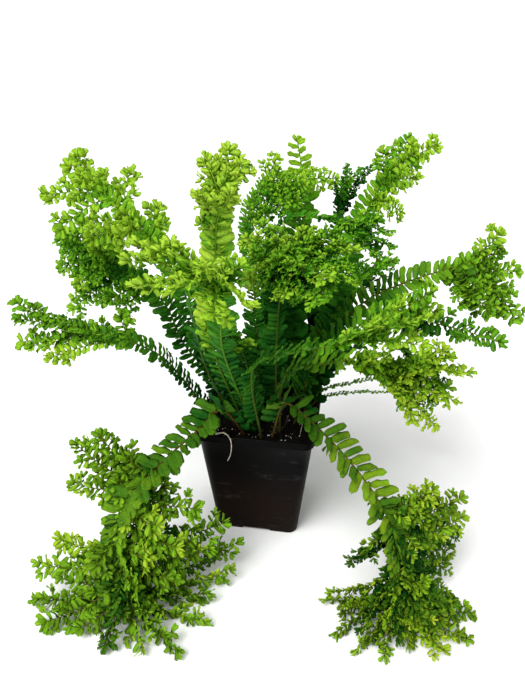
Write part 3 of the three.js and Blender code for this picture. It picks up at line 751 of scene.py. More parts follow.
# The kinds of leaflet: of a rib, of a crest's branch where it is broad, of its thinner parts, and split.
LEAFLETS = {
    "oblong": waved(
        (0, 0.05, 0.18, 0.46, 0.74, 0.88, 0.96, 1),
        (0.32, 0.74, 0.93, 1, 0.97, 0.82, 0.58, 0.3),
        columns=4, depth=0.36, run=10, turn=2.1, offset=1.5, fold=0.3, back=0.04,
    ),
    "oval": waved(
        (0, 0.14, 0.42, 0.74, 1),
        (0.2, 0.72, 1, 0.86, 0.36),
        columns=4, depth=0.5, run=9, turn=1.7, offset=2.2, fold=0.15, back=0.1,
    ),
    "finger": waved(
        (0, 0.4, 0.84, 1),
        (0.5, 0.92, 1, 0.6),
        columns=2, depth=0.5, run=8, turn=2.3, offset=1.9, fold=0.35, back=0.1,
    ),
    "wedge": wedge,
}


def strand_pattern(rings, sides):
    """A closed tube of unit radius and unit length along z."""
    bm = bmesh.new()
    bmesh.ops.create_cone(bm, cap_ends=True, segments=sides, radius1=1, radius2=1, depth=1)
    long = [e for e in bm.edges if abs(e.verts[0].co.z - e.verts[1].co.z) > 0.5]
    bmesh.ops.subdivide_edges(bm, edges=long, cuts=rings - 2)
    return Pattern(bm)


def chunk_pattern():
    """A lump with few faces."""
    bm = bmesh.new()
    bmesh.ops.create_icosphere(bm, subdivisions=1, radius=1)
    return Pattern(bm)


# What the leaf material reads at each corner: its tone from dark to fresh, by age and by painted shade
# inside the plant, how far the green turns to brown green, how brown a rib is, whether it is a rib, its
# place across and along a leaflet, and whether it lies on the lower face and at the margin.
VALUES = ("tone", "olive", "brown", "stem", "across", "along", "under", "margin")


class Clump:
    """Repeats of several patterns with their values, gathered to become one piece."""

    def __init__(self):
        self.parts = []

    def add(self, pattern, places, **values):
        if len(places):
            self.parts.append((pattern, places, values))

    def piece(self, name, material):
        whole = bmesh.new()
        for pattern, places, _ in self.parts:
            part = mesh_from(pattern.copies(len(places)), "part")
            part.vertices.foreach_set("co", places.astype(np.float32).reshape(-1))
            whole.from_mesh(part)
            bpy.data.meshes.remove(part)
        mesh = mesh_from(whole, name)
        wanted = np.concatenate([places.reshape(-1, 3) for _, places, _ in self.parts])
        found = np.zeros(wanted.size, np.float32)
        mesh.vertices.foreach_get("co", found)
        if not np.allclose(found.reshape(-1, 3), wanted, atol=1e-5):
            raise RuntimeError(name + ": the copies aren't in their own order")
        for key in VALUES:
            rows = [
                np.broadcast_to(values.get(key, 0.0), places.shape[:2]).reshape(-1)
                for _, places, values in self.parts
            ]
            layer = mesh.attributes.new(key, "FLOAT", "POINT")
            layer.data.foreach_set("value", np.concatenate(rows).astype(np.float32))
        return settle(name, mesh, material)


def settle(name, mesh, material):
    """A smooth piece from a mesh that is already in its place."""
    mesh.polygons.foreach_set("use_smooth", [True] * len(mesh.polygons))
    mesh.materials.append(material)
    piece = bpy.data.objects.new(name, mesh)
    bpy.context.scene.collection.objects.link(piece)
    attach(piece, "root")
    return piece


# ---------------------------------------------------------------- lines in space


def through(path):
    """Points along a smooth centripetal curve through a path given in millimetres."""
    p = np.array(path, float) * MM
    p = np.vstack([2 * p[0] - p[1], p, 2 * p[-1] - p[-2]])
    rows = []
    share = np.linspace(0, 1, 40, endpoint=False)[:, None]
    for a, b, c, d in zip(p, p[1:], p[2:], p[3:]):
        before, here, after = (math.sqrt(math.dist(q, r)) for q, r in ((a, b), (b, c), (c, d)))
        leave = ((b - a) / before - (c - a) / (before + here) + (c - b) / here) * here
        arrive = ((c - b) / here - (d - b) / (here + after) + (d - c) / after) * here
        square, cube = share**2, share**3
        bend = (3 * (c - b) - 2 * leave - arrive) * square + (2 * (b - c) + leave + arrive) * cube
        rows.append(b + leave * share + bend)
    return np.vstack([*rows, p[-2:-1]])


def bowed(start, bend, end, steps=30):
    """Points along a quadratic curve."""
    s = np.linspace(0, 1, steps)[:, None]
    return (1 - s) ** 2 * start + 2 * s * (1 - s) * bend + s**2 * end


class Line:
    """A curve with a direction across it, which gives its frame at any share of its length."""

    def __init__(self, points, across):
        steps = np.linalg.norm(np.diff(points, axis=0), axis=1)
        self.length = steps.sum()
        self.shares = np.concatenate([[0], np.cumsum(steps)]) / self.length
        self.points = points
        self.across = across

    def at(self, share):
        return np.stack([np.interp(share, self.shares, row) for row in self.points.T], -1)

    def frame(self, share):
        """Place, direction, side and upper face."""
        share = np.asarray(share, float)
        along = unit(self.at(np.minimum(share + 0.005, 1)) - self.at(np.maximum(share - 0.005, 0)))
        side = unit(self.across - along * (along @ self.across)[..., None])
        return self.at(share), along, side, np.cross(along, side)


def around(line, share, turn):
    """A place on a line, its direction, the side, and the direction away from it at an angle round it."""
    place, along, side, up = line.frame(share)
    return place, along, side, side * np.cos(turn) + up * np.sin(turn)


STRAND_GAP = 0.3 * MM  # between the ground and the strands that lie lowest


def strands(pattern, lines, radii, flat=1.0):
    """The places of tubes along lines, each with a radius at its start and one at its end."""
    shares = pattern.z + 0.5
    rows = []
    for line, (start, end) in zip(lines, radii):
        place, _, side, up = line.frame(shares)
        radius = (start + (end - start) * shares)[:, None]
        place[:, 2] = np.maximum(place[:, 2], radius[:, 0] + STRAND_GAP)
        rows.append(place + radius * (pattern.x[:, None] * side * -1 + flat * pattern.y[:, None] * up))
    return np.array(rows)


# ---------------------------------------------------------------- pot and soil


def wall_width(look, z):
    """Outer width of the pot's wall at a height."""
    return look.base_width + (look.rim_width - 2 * look.rim_step - look.base_width) * z / look.height


def square_spot(index, corner):
    """A place on a rounded square's outline, of width 1: 16 spots a quarter, 8 of them round its corner."""
    quarter, step = divmod(index, 16)
    a = 0.5 - corner
    if step < 8:
        turn = step / 8 * math.pi / 2
        x, y = a + corner * math.cos(turn), a + corner * math.sin(turn)
    else:
        x, y = a - (step - 8) / 8 * 2 * a, 0.5
    for _ in range(quarter):
        x, y = -y, x
    return x, y


def pot_rings(look):
    """Heights and widths of the pot's rings, from its foot up over the rim and down to the inner floor."""
    top, wall, rim = look.height, look.wall, look.rim_width
    low_rim = top - look.rim_height
    outside = (1.6 * MM, 12 * MM, 30 * MM, 48 * MM, 66 * MM, 84 * MM, low_rim - 0.8 * MM)
    inside = (top - 3 * MM, 94 * MM, 70 * MM, 35 * MM, 8 * MM, wall)
    inner_rim = wall_width(look, inside[0]) - 2 * wall
    return [
        (0.0, look.base_width - 1.6 * MM),
        (0.5 * MM, look.base_width - 0.3 * MM),
        *((z, wall_width(look, z)) for z in outside),
        (low_rim - 0.3 * MM, wall_width(look, low_rim) + 0.5 * MM),
        (low_rim, rim - 0.8 * MM),
        (low_rim + 0.4 * MM, rim - 0.1 * MM),
        (low_rim + 0.9 * MM, rim),
        (top - 1.1 * MM, rim),
        (top - 0.35 * MM, rim - 0.5 * MM),
        (top, rim - 1.6 * MM),
        (top, inner_rim + 1.2 * MM),
        (top - 0.4 * MM, inner_rim + 0.2 * MM),
        *((z, wall_width(look, z) - 2 * wall) for z in inside),
    ]


def ring_shell(rings, corner, bulge):
    """A closed shell through rounded square rings, with a flat face over its first ring and its last."""
    bm = bmesh.new()
    spot = bm.verts.layers.int.new("spot")
    made = bmesh.ops.create_circle(bm, cap_ends=False, segments=64, radius=1)["verts"]
    for i, v in enumerate(made):
        v[spot] = i
    edges = bm.edges[:]
    first = list(edges)

    def shape(verts, z, width):
        for v in verts:
            x, y = square_spot(v[spot], corner)
            swell = bulge(x, y, z)
            v.co = (x * (width + swell), y * (width + swell), z)

    shape(made, *rings[0])
    for ring in rings[1:]:
        grown = bmesh.ops.extrude_edge_only(bm, edges=edges)["geom"]
        edges = [e for e in grown if isinstance(e, bmesh.types.BMEdge) and e.is_boundary]
        shape([v for v in grown if isinstance(v, bmesh.types.BMVert)], *ring)
    for loop in (first, edges):
        bmesh.ops.edgeloop_fill(bm, edges=loop)
    bm.verts.layers.int.remove(spot)
    bmesh.ops.recalc_face_normals(bm, faces=bm.faces[:])
    return bm


NOTCH_SIZE = (26 * MM, 14 * MM, 4.8 * MM)  # the lower half of its height is under the pot
NOTCH_ROUNDING = 2.2 * MM
DRAIN_PLACE = (20 * MM, 20 * MM, 0)
PANEL_SWELL = 1.1 * MM  # how much wider the pot is in the middle of its panels


def cutters(look):
    """The notches under the pot's lower edges and the drain holes in its floor."""
    bm = bmesh.new()
    for side in range(4):
        turn = Matrix.Rotation(side * math.pi / 2, 4, "Z")
        notch = bmesh.ops.create_cube(bm, size=1)["verts"]
        edges = {e for v in notch for e in v.link_edges if abs(e.verts[0].co.y - e.verts[1].co.y) > 0.5}
        bmesh.ops.scale(bm, vec=NOTCH_SIZE, verts=notch)
        bevel = bmesh.ops.bevel(
            bm,
            geom=list(edges),
            offset=NOTCH_ROUNDING,
            offset_type="OFFSET",
            segments=4,
            profile=0.5,
            affect="EDGES",
            material=-1,
        )
        notch = list({v for f in bevel["faces"] for v in f.verts} | {v for v in notch if v.is_valid})
        bmesh.ops.translate(bm, vec=(0, -look.base_width / 2, 0), verts=notch)
        bmesh.ops.transform(bm, matrix=turn, verts=notch)
        drain = bmesh.ops.create_cone(
            bm, cap_ends=True, segments=24, radius1=look.drain, radius2=look.drain, depth=8 * MM
        )["verts"]
        bmesh.ops.translate(bm, vec=DRAIN_PLACE, verts=drain)
        bmesh.ops.transform(bm, matrix=turn, verts=drain)
    made = bpy.data.objects.new("cutters", mesh_from(bm, "cutters"))
    bpy.context.scene.collection.objects.link(made)
    return made


def apply_modifiers(piece):
    """Replaces a piece's mesh by what its modifiers make of it."""
    bpy.context.view_layer.update()
    made = bpy.data.meshes.new_from_object(piece.evaluated_get(bpy.context.evaluated_depsgraph_get()))
    old, name = piece.data, piece.data.name
    piece.modifiers.clear()
    piece.data = made
    bpy.data.meshes.remove(old)
    made.name = name


def lump(x, y):
    """Height of the soil's lumps over its level."""
    x, y = x / MM, y / MM
    long = np.sin(0.31 * x + 1.3) * np.cos(0.27 * y - 0.4)
    short = 0.5 * np.sin(0.52 * x - 0.44 * y)
    return 1.2 * (long + short) * MM


def rounded(u, v, corner):
    """A place of the square from -1 to 1 brought into the rounded square of half width 1."""
    r = 2 * corner
    x, y = abs(u) - (1 - r), abs(v) - (1 - r)
    if x > 0 and y > 0:
        x, y = x / r, y / r
        x, y = x * math.sqrt(1 - y * y / 2) * r, y * math.sqrt(1 - x * x / 2) * r
        u, v = math.copysign(1 - r + x, u), math.copysign(1 - r + y, v)
    return u, v


def soil_block(look, pot):
    """The potting mix: a lumpy top and drafted sides."""
    bm = bmesh.new()
    bmesh.ops.create_grid(bm, x_segments=72, y_segments=72, size=1)
    half = wall_width(pot, look.level) / 2 - pot.wall - look.gap
    low = wall_width(pot, look.underside) / 2 - pot.wall - look.gap
    sides = [e for e in bm.edges if e.is_boundary]
    for v in bm.verts:
        u, w = rounded(v.co.x, v.co.y, pot.corner)
        v.co = (u * half, w * half, 0)
        edge = min(1.0, 12 * (1 - max(abs(u), abs(w))))
        rough = 1.5 * noise.noise(v.co * 260) + 0.9 * noise.noise(v.co * 620 + Vector((3, 1, 7)))
        v.co.z = look.level + edge * (lump(v.co.x, v.co.y) + rough * MM)
    grown = bmesh.ops.extrude_edge_only(bm, edges=sides)["geom"]
    for v in grown:
        if isinstance(v, bmesh.types.BMVert):
            v.co = (v.co.x * low / half, v.co.y * low / half, look.underside)
    bmesh.ops.edgeloop_fill(bm, edges=[e for e in bm.edges if e.is_boundary])
    bmesh.ops.recalc_face_normals(bm, faces=bm.faces[:])
    return bm


FLATNESS = 0.7  # height of a lump as a share of its length
ROUGHNESS = 0.22  # how far a lump's corners stray, as a share of its radius


def scattered(pattern, rng, spots, sizes):
    """The places of lumps at spots, each turned at random."""
    rows = []
    corners = np.stack([pattern.x, pattern.y, pattern.z], -1)
    for spot, size in zip(spots, sizes):
        turn = np.array(Euler(rng.uniform(0, 2 * math.pi, 3)).to_matrix())
        shape = corners * rng.uniform(1 - ROUGHNESS, 1 + ROUGHNESS, (len(corners), 1))
        shape = shape * np.array((1, rng.uniform(FLATNESS, 1), FLATNESS)) @ turn.T
        rows.append(spot + shape * size)
    return np.array(rows)


def on_soil(flat, look, rise):
    """Places so far over the soil's surface, from their x and y."""
    return np.column_stack([flat, look.level + lump(*flat.T) + rise])


def crumb_clump(look, half, rng):
    """Crumbs and bark slivers within a half width on the soil."""
    clump, chunk, fibre = Clump(), chunk_pattern(), strand_pattern(5, 5)
    sizes = rng.uniform(0.35, 1.5, look.crumbs) ** 1.3 * MM
    spots = on_soil(rng.uniform(-half, half, (look.crumbs, 2)), look, 0.4 * MM)
    dryness = rng.uniform(0, 1, (look.crumbs, 1)) ** 3 * 0.8
    clump.add(chunk, scattered(chunk, rng, spots, sizes), tone=dryness)
    slivers = []
    near = half - 4 * MM
    for spot in on_soil(rng.uniform(-near, near, (look.slivers, 2)), look, 0.9 * MM):
        turn = rng.uniform(0, 2 * math.pi)
        run = np.array((math.cos(turn), math.sin(turn), rng.uniform(-0.25, 0.25)))
        run = run * rng.uniform(1.5, 5) * MM
        bend = spot + np.array((0, 0, rng.uniform(0, 1) * MM))
        slivers.append(Line(bowed(spot - run, bend, spot + run, 8), np.cross(run, (0, 0, 1))))
    radii = [(rng.uniform(0.15, 0.45) * MM, 0.12 * MM) for _ in slivers]
    clump.add(fibre, strands(fibre, slivers, radii), tone=rng.uniform(0.2, 1.0, (len(slivers), 1)))
    return clump


def grain_clump(look, half, rng):
    """White grains within a half width on the soil, half of them near its front."""
    clump, chunk = Clump(), chunk_pattern()
    flat = rng.uniform(-half, half, (look.grains, 2))
    flat[: look.grains // 2, 1] = rng.uniform(-half, -half * 0.45, look.grains // 2)
    spots = on_soil(flat, look, 0.8 * MM)
    clump.add(chunk, scattered(chunk, rng, spots, rng.uniform(0.25, 0.85, look.grains) * MM))
    return clump


class FERN_OT_pot(bpy.types.Operator):
    """Build the pot with its stepped rim, drainage notches and drain holes"""

    bl_idname = "fern.pot"
    bl_label = "Pot"

    def execute(self, context):
        look = context.scene.fern_pot

        def bulge(x, y, z):
            """The panels swell a little in the middle of each side, where they are thin and tall."""
            if not 4 * MM < z < look.height - look.rim_height:
                return 0
            flat = max(0.0, 1 - (min(abs(x), abs(y)) / 0.4) ** 2)
            return PANEL_SWELL * flat * math.sin(math.pi * z / look.height)

        mesh = mesh_from(ring_shell(pot_rings(look), look.corner, bulge), "moulded_pot")
        piece = settle("moulded_pot", mesh, plastic_material(look))
        cutter = cutters(look)
        cut = piece.modifiers.new("cut", "BOOLEAN")
        cut.operation = "DIFFERENCE"
        cut.solver = "EXACT"
        cut.object = cutter
        apply_modifiers(piece)
        bpy.data.objects.remove(cutter)
        if len(piece.data.polygons) < 500:
            raise RuntimeError("the pot lost its faces as its notches were cut")
        piece.data.set_sharp_from_angle(angle=math.radians(40))
        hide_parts("pot")
        return {"FINISHED"}


class FERN_OT_soil(bpy.types.Operator):
    """Build the potting mix with its crumbs, bark slivers and white grains"""

    bl_idname = "fern.soil"
    bl_label = "Soil"

    def execute(self, context):
        look, pot = context.scene.fern_soil, context.scene.fern_pot
        rng = np.random.default_rng(5)
        half = wall_width(pot, look.level) / 2 - pot.wall - 2.5 * MM
        peat = soil_material(look)
        mesh = mesh_from(soil_block(look, pot), "potting_mix")
        mesh.attributes.new("tone", "FLOAT", "POINT")
        block = settle("potting_mix", mesh, peat)
        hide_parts("soil")
        crumbs = crumb_clump(look, half, rng)
        crumbs.piece("crumbs", peat)
        grains = grain_clump(look, half, rng)
        grains.piece("white_grains", grain_material(look))
        return {"FINISHED"}


# ---------------------------------------------------------------- fronds


VARIANTS = 3  # of each kind of leaflet
RIBS = {"rib": (36, 6), "branch": (9, 5), "twig": (4, 4)}  # rings and sides of the tubes
BRANCH_RADII = (0.55 * MM, 0.32 * MM)  # at the start and at the end
TWIG_RADII = (0.35 * MM, 0.22 * MM)
FOOT_SHADE_TONE = 0.24  # painted shade: tone of the leaflets at a rib's foot, low inside the plant
SIDE_BRANCH_REACH = 80  # millimetres between two crest tips that still have a side branch between them
GROUND_GAP = 0.5 * MM  # between the ground and the leaflets that lie lowest
BRANCH_RISE = 4 * MM  # lowest height of a branch's bend and of a side branch's end


def leaflet_patterns():
    patterns = {kind: [leaflet(i) for i in range(VARIANTS)] for kind, leaflet in LEAFLETS.items()}
    return patterns | {kind: [strand_pattern(*size)] for kind, size in RIBS.items()}


def blades(pattern, base, out, up, length, width, roll, droop, hook, thickness):
    """The places of leaflets that grow from base along out, their upper faces turned to up."""
    normal = unit(up - out * (up * out).sum(-1, keepdims=True))
    wide = np.cross(normal, out)
    c, s = np.cos(roll)[:, None], np.sin(roll)[:, None]
    normal, wide = normal * c + wide * s, wide * c - normal * s
    x = pattern.x[None, :, None]
    y = pattern.y[None, :, None]
    long = length[:, None, None]
    half = width[:, None, None]
    rise = half * pattern.z[None, :, None] + droop[:, None, None] * long * x * x
    rise = rise + thickness / 2 * pattern.side[None, :, None]
    across = half * y + hook[:, None, None] * long * x * x
    return base[:, None] + out[:, None] * (long * x) + wide[:, None] * across + normal[:, None] * rise


def is_clear(places, pot, soil):
    """Whether each leaflet stays out of the pot's wall and of the soil."""
    x, y, z = np.moveaxis(places, -1, 0)
    reach = np.maximum(np.abs(x), np.abs(y))
    wall = wall_width(pot, np.clip(z, 0, pot.height)) / 2
    outer = np.where(z > pot.height - pot.rim_height - 1 * MM, pot.rim_width / 2, wall) + 0.5 * MM
    top = np.where(reach > wall - pot.wall - 0.8 * MM, pot.height + 0.5 * MM, soil.level + 1.2 * MM)
    return ~((reach < outer) & (z < top)).any(-1)


class Leafage:
    """The leaflets and ribs of one frond."""

    def __init__(self, patterns, look, rng, olive, brown, shade=1):
        self.patterns = patterns
        self.look = look
        self.rng = rng
        self.olive = olive
        self.brown = brown
        self.shade = shade
        self.rows = {kind: [] for kind in LEAFLETS}
        self.ribs = {kind: [] for kind in RIBS}

    def rib(self, kind, line, radii, tone, brown):
        self.ribs[kind].append((line, radii, tone, brown))

    def rank(self, kind, line, shares, hands, lengths, width, tones, sweep, lift, loose, twist=0.0):
        """Leaflets at shares of a line, each to its own hand.

        They lean to the line's end by sweep, to its upper face by lift, roll by twist and stray by loose.
        """
        rng, count = self.rng, len(shares)
        place, along, side, up = line.frame(shares)
        sweeps = sweep + rng.normal(0, 0.35 * loose, (count, 1))
        lifts = lift + rng.normal(0, 0.8 * loose, (count, 1))
        out = unit(side * hands[:, None] + along * sweeps + up * lifts)
        self.put(
            kind,
            place,
            out,
            up,
            lengths,
            width * rng.uniform(0.88, 1.12, count),
            twist * hands + rng.normal(0, loose, count),
            tones,
            hook=-0.1 * hands * rng.uniform(0.2, 1.4, count),
            droop=rng.normal(-0.12, 0.25 * loose + 0.05, count),
        )

    def put(self, kind, place, out, up, lengths, width, roll, tones, hook, droop):
        self.rows[kind].append((place, out, up, lengths, lengths * width, roll, droop, hook, tones))

    def fan(self, line, lengths, tone, spread, width):
        """Fingers spread like a hand at a line's end."""
        rng, count = self.rng, len(lengths)
        place, along, side, up = line.frame(np.ones(count))
        turn = np.linspace(-spread, spread, count)[:, None] + rng.normal(0, 0.12, (count, 1))
        out = unit(along * np.cos(turn) + side * np.sin(turn) + up * rng.normal(0.08, 0.22, (count, 1)))
        self.put(
            "finger",
            place - along * 0.4 * MM,
            out,
            up,
            np.asarray(lengths),
            width,
            rng.normal(0, 0.5, count),
            tone + rng.normal(0, 0.04, count),
            hook=rng.normal(0, 0.1, count),
            droop=rng.normal(0.1, 0.2, count),
        )

    def twig(self, start, out, up, length, lobe, width, tone):
        """A short shoot of a crest: small fingers in two ranks and three at its end."""
        rng = self.rng
        bend = start + out * length * 0.5 + up * length * rng.uniform(-0.15, 0.3)
        line = Line(bowed(start, bend, start + out * length, 6), np.cross(up, out))
        self.rib("twig", line, TWIG_RADII, tone - 0.05, 0)
        count = max(2, round(length / (0.42 * lobe)))
        shares = np.linspace(0.2, 0.9, count)
        lengths = lobe * rng.uniform(0.8, 1.15, count) * (1.1 - 0.3 * shares)
        tones = tone + 0.05 * shares + rng.normal(0, 0.05, count)
        self.rank("finger", line, shares, alternating(count), lengths, width, tones, 0.5, 0.15, 0.35)
        self.fan(line, 0.85 * lobe * rng.uniform(0.8, 1.15, 3), tone + 0.06, 0.7, width)

    def crest(self, line, leaf, small, tone, row):
        """A branch of the crest: broad leaflets, then fingers, in two ranks, with twigs between them."""
        rng, look, crimp = self.rng, self.look, row["crimp"]
        self.rib("branch", line, BRANCH_RADII, tone - 0.08, self.brown * 0.6)
        tone = tone + rng.normal(0, 0.1)
        step = look.crest_step * row["gap"] * (1.25 - 0.4 * crimp) * small
        count = max(4, round(line.length * 0.9 / step * 2))
        shares = np.linspace(0.05, 0.97, count)
        hands = alternating(count)
        ends = small * (0.64 - 0.24 * crimp)
        lengths = (ends + (0.7 * leaf - ends) * (1 - shares) ** 1.4) * rng.uniform(0.8, 1.15, count)
        # Painted shade: leaflets near the branch's start, inside the crest, are darker than those near its
        # end.
        tones = tone + 0.18 * (shares - 0.5) + rng.normal(0, 0.05, count)
        draw = rng.uniform(0, 1, count)
        broad = draw < 1.1 - 2.2 * shares
        hand = ~broad & (draw > 0.78 + 0.15 * crimp)
        loose = 0.3 + 0.25 * crimp
        width = look.crest_width * row["lobes"]
        kinds = (("oval", broad, 1.15), ("wedge", hand, 1.6), ("finger", ~broad & ~hand, 1))
        for kind, pick, wide in kinds:
            if pick.any():
                chosen = shares[pick], hands[pick], lengths[pick], wide * width, tones[pick]
                self.rank(kind, line, *chosen, 0.4, 0.2, loose)
        lobe = small * (0.54 - 0.18 * crimp)
        twigs = round((1.6 + 5.4 * crimp) * line.length / (45 * MM))
        for i in range(twigs):
            share = 0.24 + 0.68 * (i + 0.5) / twigs
            place, along, side, up = line.frame(share)
            hand = 1 if i % 2 else -1
            out = unit(side * hand * 0.8 + along * 0.7 + up * rng.uniform(-0.5, 0.7))
            length = small * (1.1 - 0.5 * share) * rng.uniform(0.65, 1.0)
            face = unit(up + along * rng.normal(0, 0.3))
            self.twig(place, out, face, length, lobe, width, tone + 0.08 * share)
        self.fan(line, lobe * rng.uniform(0.8, 1.2, 5), tone + 0.1, 0.95, width)

    def gather(self, pot, soil):
        """All of it as a clump."""
        clump = Clump()
        for kind, rows in self.rows.items():
            if not rows:
                continue
            columns = [np.concatenate(column) for column in zip(*rows)]
            variants = self.patterns[kind]
            for number, pattern in enumerate(variants):
                *shape, tones = [column[number :: len(variants)] for column in columns]
                if not len(tones):
                    continue
                places = blades(pattern, *shape, self.look.thickness)
                keep = is_clear(places, pot, soil)
                places, tones, lengths = places[keep], tones[keep], shape[3][keep]
                low = places[..., 2].min(-1, initial=1)
                places[..., 2] += np.maximum(0, GROUND_GAP - low)[:, None]
                clump.add(
                    pattern,
                    places,
                    tone=tones[:, None] + 0.07 * (pattern.x - 0.4),
                    olive=self.olive,
                    across=pattern.across,
                    along=pattern.x * lengths[:, None] / (15 * MM),
                    under=np.maximum(0, -pattern.side),
                    margin=1 - np.abs(pattern.side),
                )
        for kind, rows in self.ribs.items():
            if rows:
                pattern = self.patterns[kind][0]
                lines, radii, tones, browns = zip(*rows)
                dim = 0.6 if kind == "rib" else 0  # how much darker a rib is at its foot
                clump.add(
                    pattern,
                    strands(pattern, lines, radii, 0.85),
                    tone=np.array(tones)[:, None] * (1 - dim * (0.5 - pattern.z)),
                    brown=np.array(browns)[:, None],
                    olive=self.olive,
                    stem=1.0,
                )
        return clump


def crowding(spots, areas, toward, cell):
    """How far each spot is hidden, from 0 to 1, by the leaflets that lie from it towards a direction."""
    low = spots.min(0) - 8 * cell
    grid = np.zeros(((spots.max(0) - low) / cell).astype(int) + 9)
    np.add.at(grid, tuple(((spots - low) / cell).astype(int).T), areas)
    for axis in range(3):
        grid = (grid + np.roll(grid, 1, axis) + np.roll(grid, -1, axis)) / 3
    passed = 0
    for step in (1.5, 2.5, 3.5, 4.5, 5.5):
        place = ((spots + np.array(toward) * step * cell - low) / cell).astype(int)
        passed = passed + grid[tuple(np.minimum(place, np.array(grid.shape) - 1).T)]
    return 1 - np.exp(-0.5 * passed / cell**2)


def paint_inner_shade(leafages, look):
    """Painted shade: leaflets deep in the plant, hidden by others towards the key light, get a darker tone
    than those at its outside.
    """
    rows, shades = [], []
    for leafage in leafages:
        for kind in leafage.rows.values():
            rows += kind
            shades += [leafage.shade] * len(kind)
    spots = np.concatenate([place + out * length[:, None] * 0.6 for place, out, _, length, *_ in rows])
    areas = np.concatenate([length * width for _, _, _, length, width, *_ in rows])
    hidden = crowding(spots, areas, look.outside, 5 * MM)
    start = 0
    for row, shade in zip(rows, shades):
        tones = row[-1]
        # Painted shade: hidden leaflets get a darker tone, open ones a lighter one.
        tones -= look.inner_shade * shade * (hidden[start : start + len(tones)] - 0.3)
        start += len(tones)


def rib_line(path, turn):
    """A rib's curve, its upper face turned by some degrees to the front."""
    points = through(path)
    slant = math.radians(turn)
    return Line(points, unit(np.cross((0, -math.sin(slant), math.cos(slant)), points[-1] - points[0])))


def crest_feet(line, bare, fork):
    """The shares of a rib where a branch of the crest may start."""
    pairs = max(2, round(line.length * (1 - bare) / FOOT_STEP))
    stem = max(1, round(line.length * bare / (1.6 * FOOT_STEP)))
    shares = [bare * i / stem for i in range(stem)]
    shares += [bare + (1 - bare) * i / (pairs + 0.5) for i in range(pairs + 1)]
    return [share for share in shares if share >= fork]


def crest_line(line, feet, tip, number, sag):
    """A branch from the rib to its tip, leaving a step or two before the nearest foot."""
    end = np.array(tip, float) * MM
    stretch = np.array((1, 1, 1 + 4 * sag))
    distances = [math.dist(line.at(share) * stretch, end * stretch) for share in feet]
    share = feet[max(0, int(np.argmin(distances)) - 1 - number % 2)]
    place, along, _, up = line.frame(share)
    run = end - place
    bend = place + (along * 0.35 - np.array((0, 0, sag))) * np.linalg.norm(run)
    bend[2] = max(bend[2], BRANCH_RISE)
    return Line(bowed(place, bend, end), unit(np.cross(up, run)))


def between(branch, tip, other, share, rng):
    """A side branch that leaves a branch and ends between its tip and the next one."""
    place, along, _, up = branch.frame(0.15 + 0.3 * share)
    end = (np.array(tip) * (1 - share) + np.array(other) * share) * MM
    run = (end - place) * rng.uniform(0.72, 0.95)
    run = run + up * np.linalg.norm(run) * rng.uniform(-0.16, 0.16)
    run[2] = max(run[2], BRANCH_RISE - place[2])
    bend = place + along * 0.3 * np.linalg.norm(run)
    bend[2] = max(bend[2], BRANCH_RISE)
    return Line(bowed(place, bend, place + run), unit(np.cross(up, run)))


def frond_leafage(row, patterns, look, rng):
    """One frond: a rib with two ranks of leaflets, and the branches of its crest."""
    line = rib_line(row["path"], row["turn"])
    leafage = Leafage(patterns, look, rng, row["olive"], row["rachis"], row["shade"])
    bare, leaf, small, tone = row["bare"], row["leaf"] * MM, row["small"] * MM, row["tone"]
    start = (8 if row["path"][0][0] < 0 else 30) * MM / line.length  # higher on the ribs at the right
    count = round(line.length * (1 - start) / (look.leaflet_step * leaf) * 2)
    shares = np.linspace(start, 0.995, count)
    grown = (shares - bare) / (1 - bare)
    profile = np.sin(np.pi * np.clip(0.25 + 0.6 * grown, 0.2, 1))
    profile = np.maximum(np.where(grown < 0.1, row["low"], 0.52), profile)
    lengths = leaf * profile * rng.uniform(0.88, 1.08, count)
    # Painted shade: the rib's leaflets start dark at its foot, low inside the plant, and reach the frond's
    # tone at the share full.
    rise = np.clip((shares - start) / (row["full"] - start), 0, 1)
    tones = FOOT_SHADE_TONE + (tone - FOOT_SHADE_TONE) * rise**2.3 + rng.normal(0, 0.05, count)
    half = look.leaflet_width * row["broad"]
    leafage.rank("oblong", line, shares, alternating(count), lengths, half, tones, 0.3, 0.3, 0.2, 0.25)
    leafage.rib("rib", line, (look.rib_base, look.rib_end), 0.75 * tone, row["rachis"])
    above = shares[(shares > 0.8 * row["full"]) & (rng.uniform(0, 1, count) < row["ruff"])]
    if len(above):
        ruffs = 0.75 * leaf * rng.uniform(0.75, 1.1, len(above))
        ruff_tones = tone + 0.06 + rng.normal(0, 0.06, len(above))
        flip = rng.choice((-1.0, 1.0), len(above))
        lift = rng.uniform(-1.8, 1.8, (len(above), 1))
        leafage.rank("wedge", line, above, flip, ruffs, 1.6 * look.crest_width, ruff_tones, 0.6, lift, 0.5)
    feet = crest_feet(line, bare, row["fork"])
    tips = row["tips"]
    branches = [crest_line(line, feet, tip, number, row["sag"]) for number, tip in enumerate(tips)]
    for branch in branches:
        leafage.crest(branch, leaf, small, tone, row)
    for number, (tip, other) in enumerate(zip(tips, tips[1:])):
        if math.dist(tip, other) < SIDE_BRANCH_REACH:
            for share in np.linspace(0, 1, row["fill"] + 2)[1:-1]:
                side = between(branches[number], tip, other, share, rng)
                leafage.crest(side, 0.7 * leaf, 0.85 * small, tone - 0.1, row)
    leafage.fan(line, 5.5 * MM * rng.uniform(0.8, 1.2, 5), tone + 0.1, 0.9, look.crest_width)
    return leafage


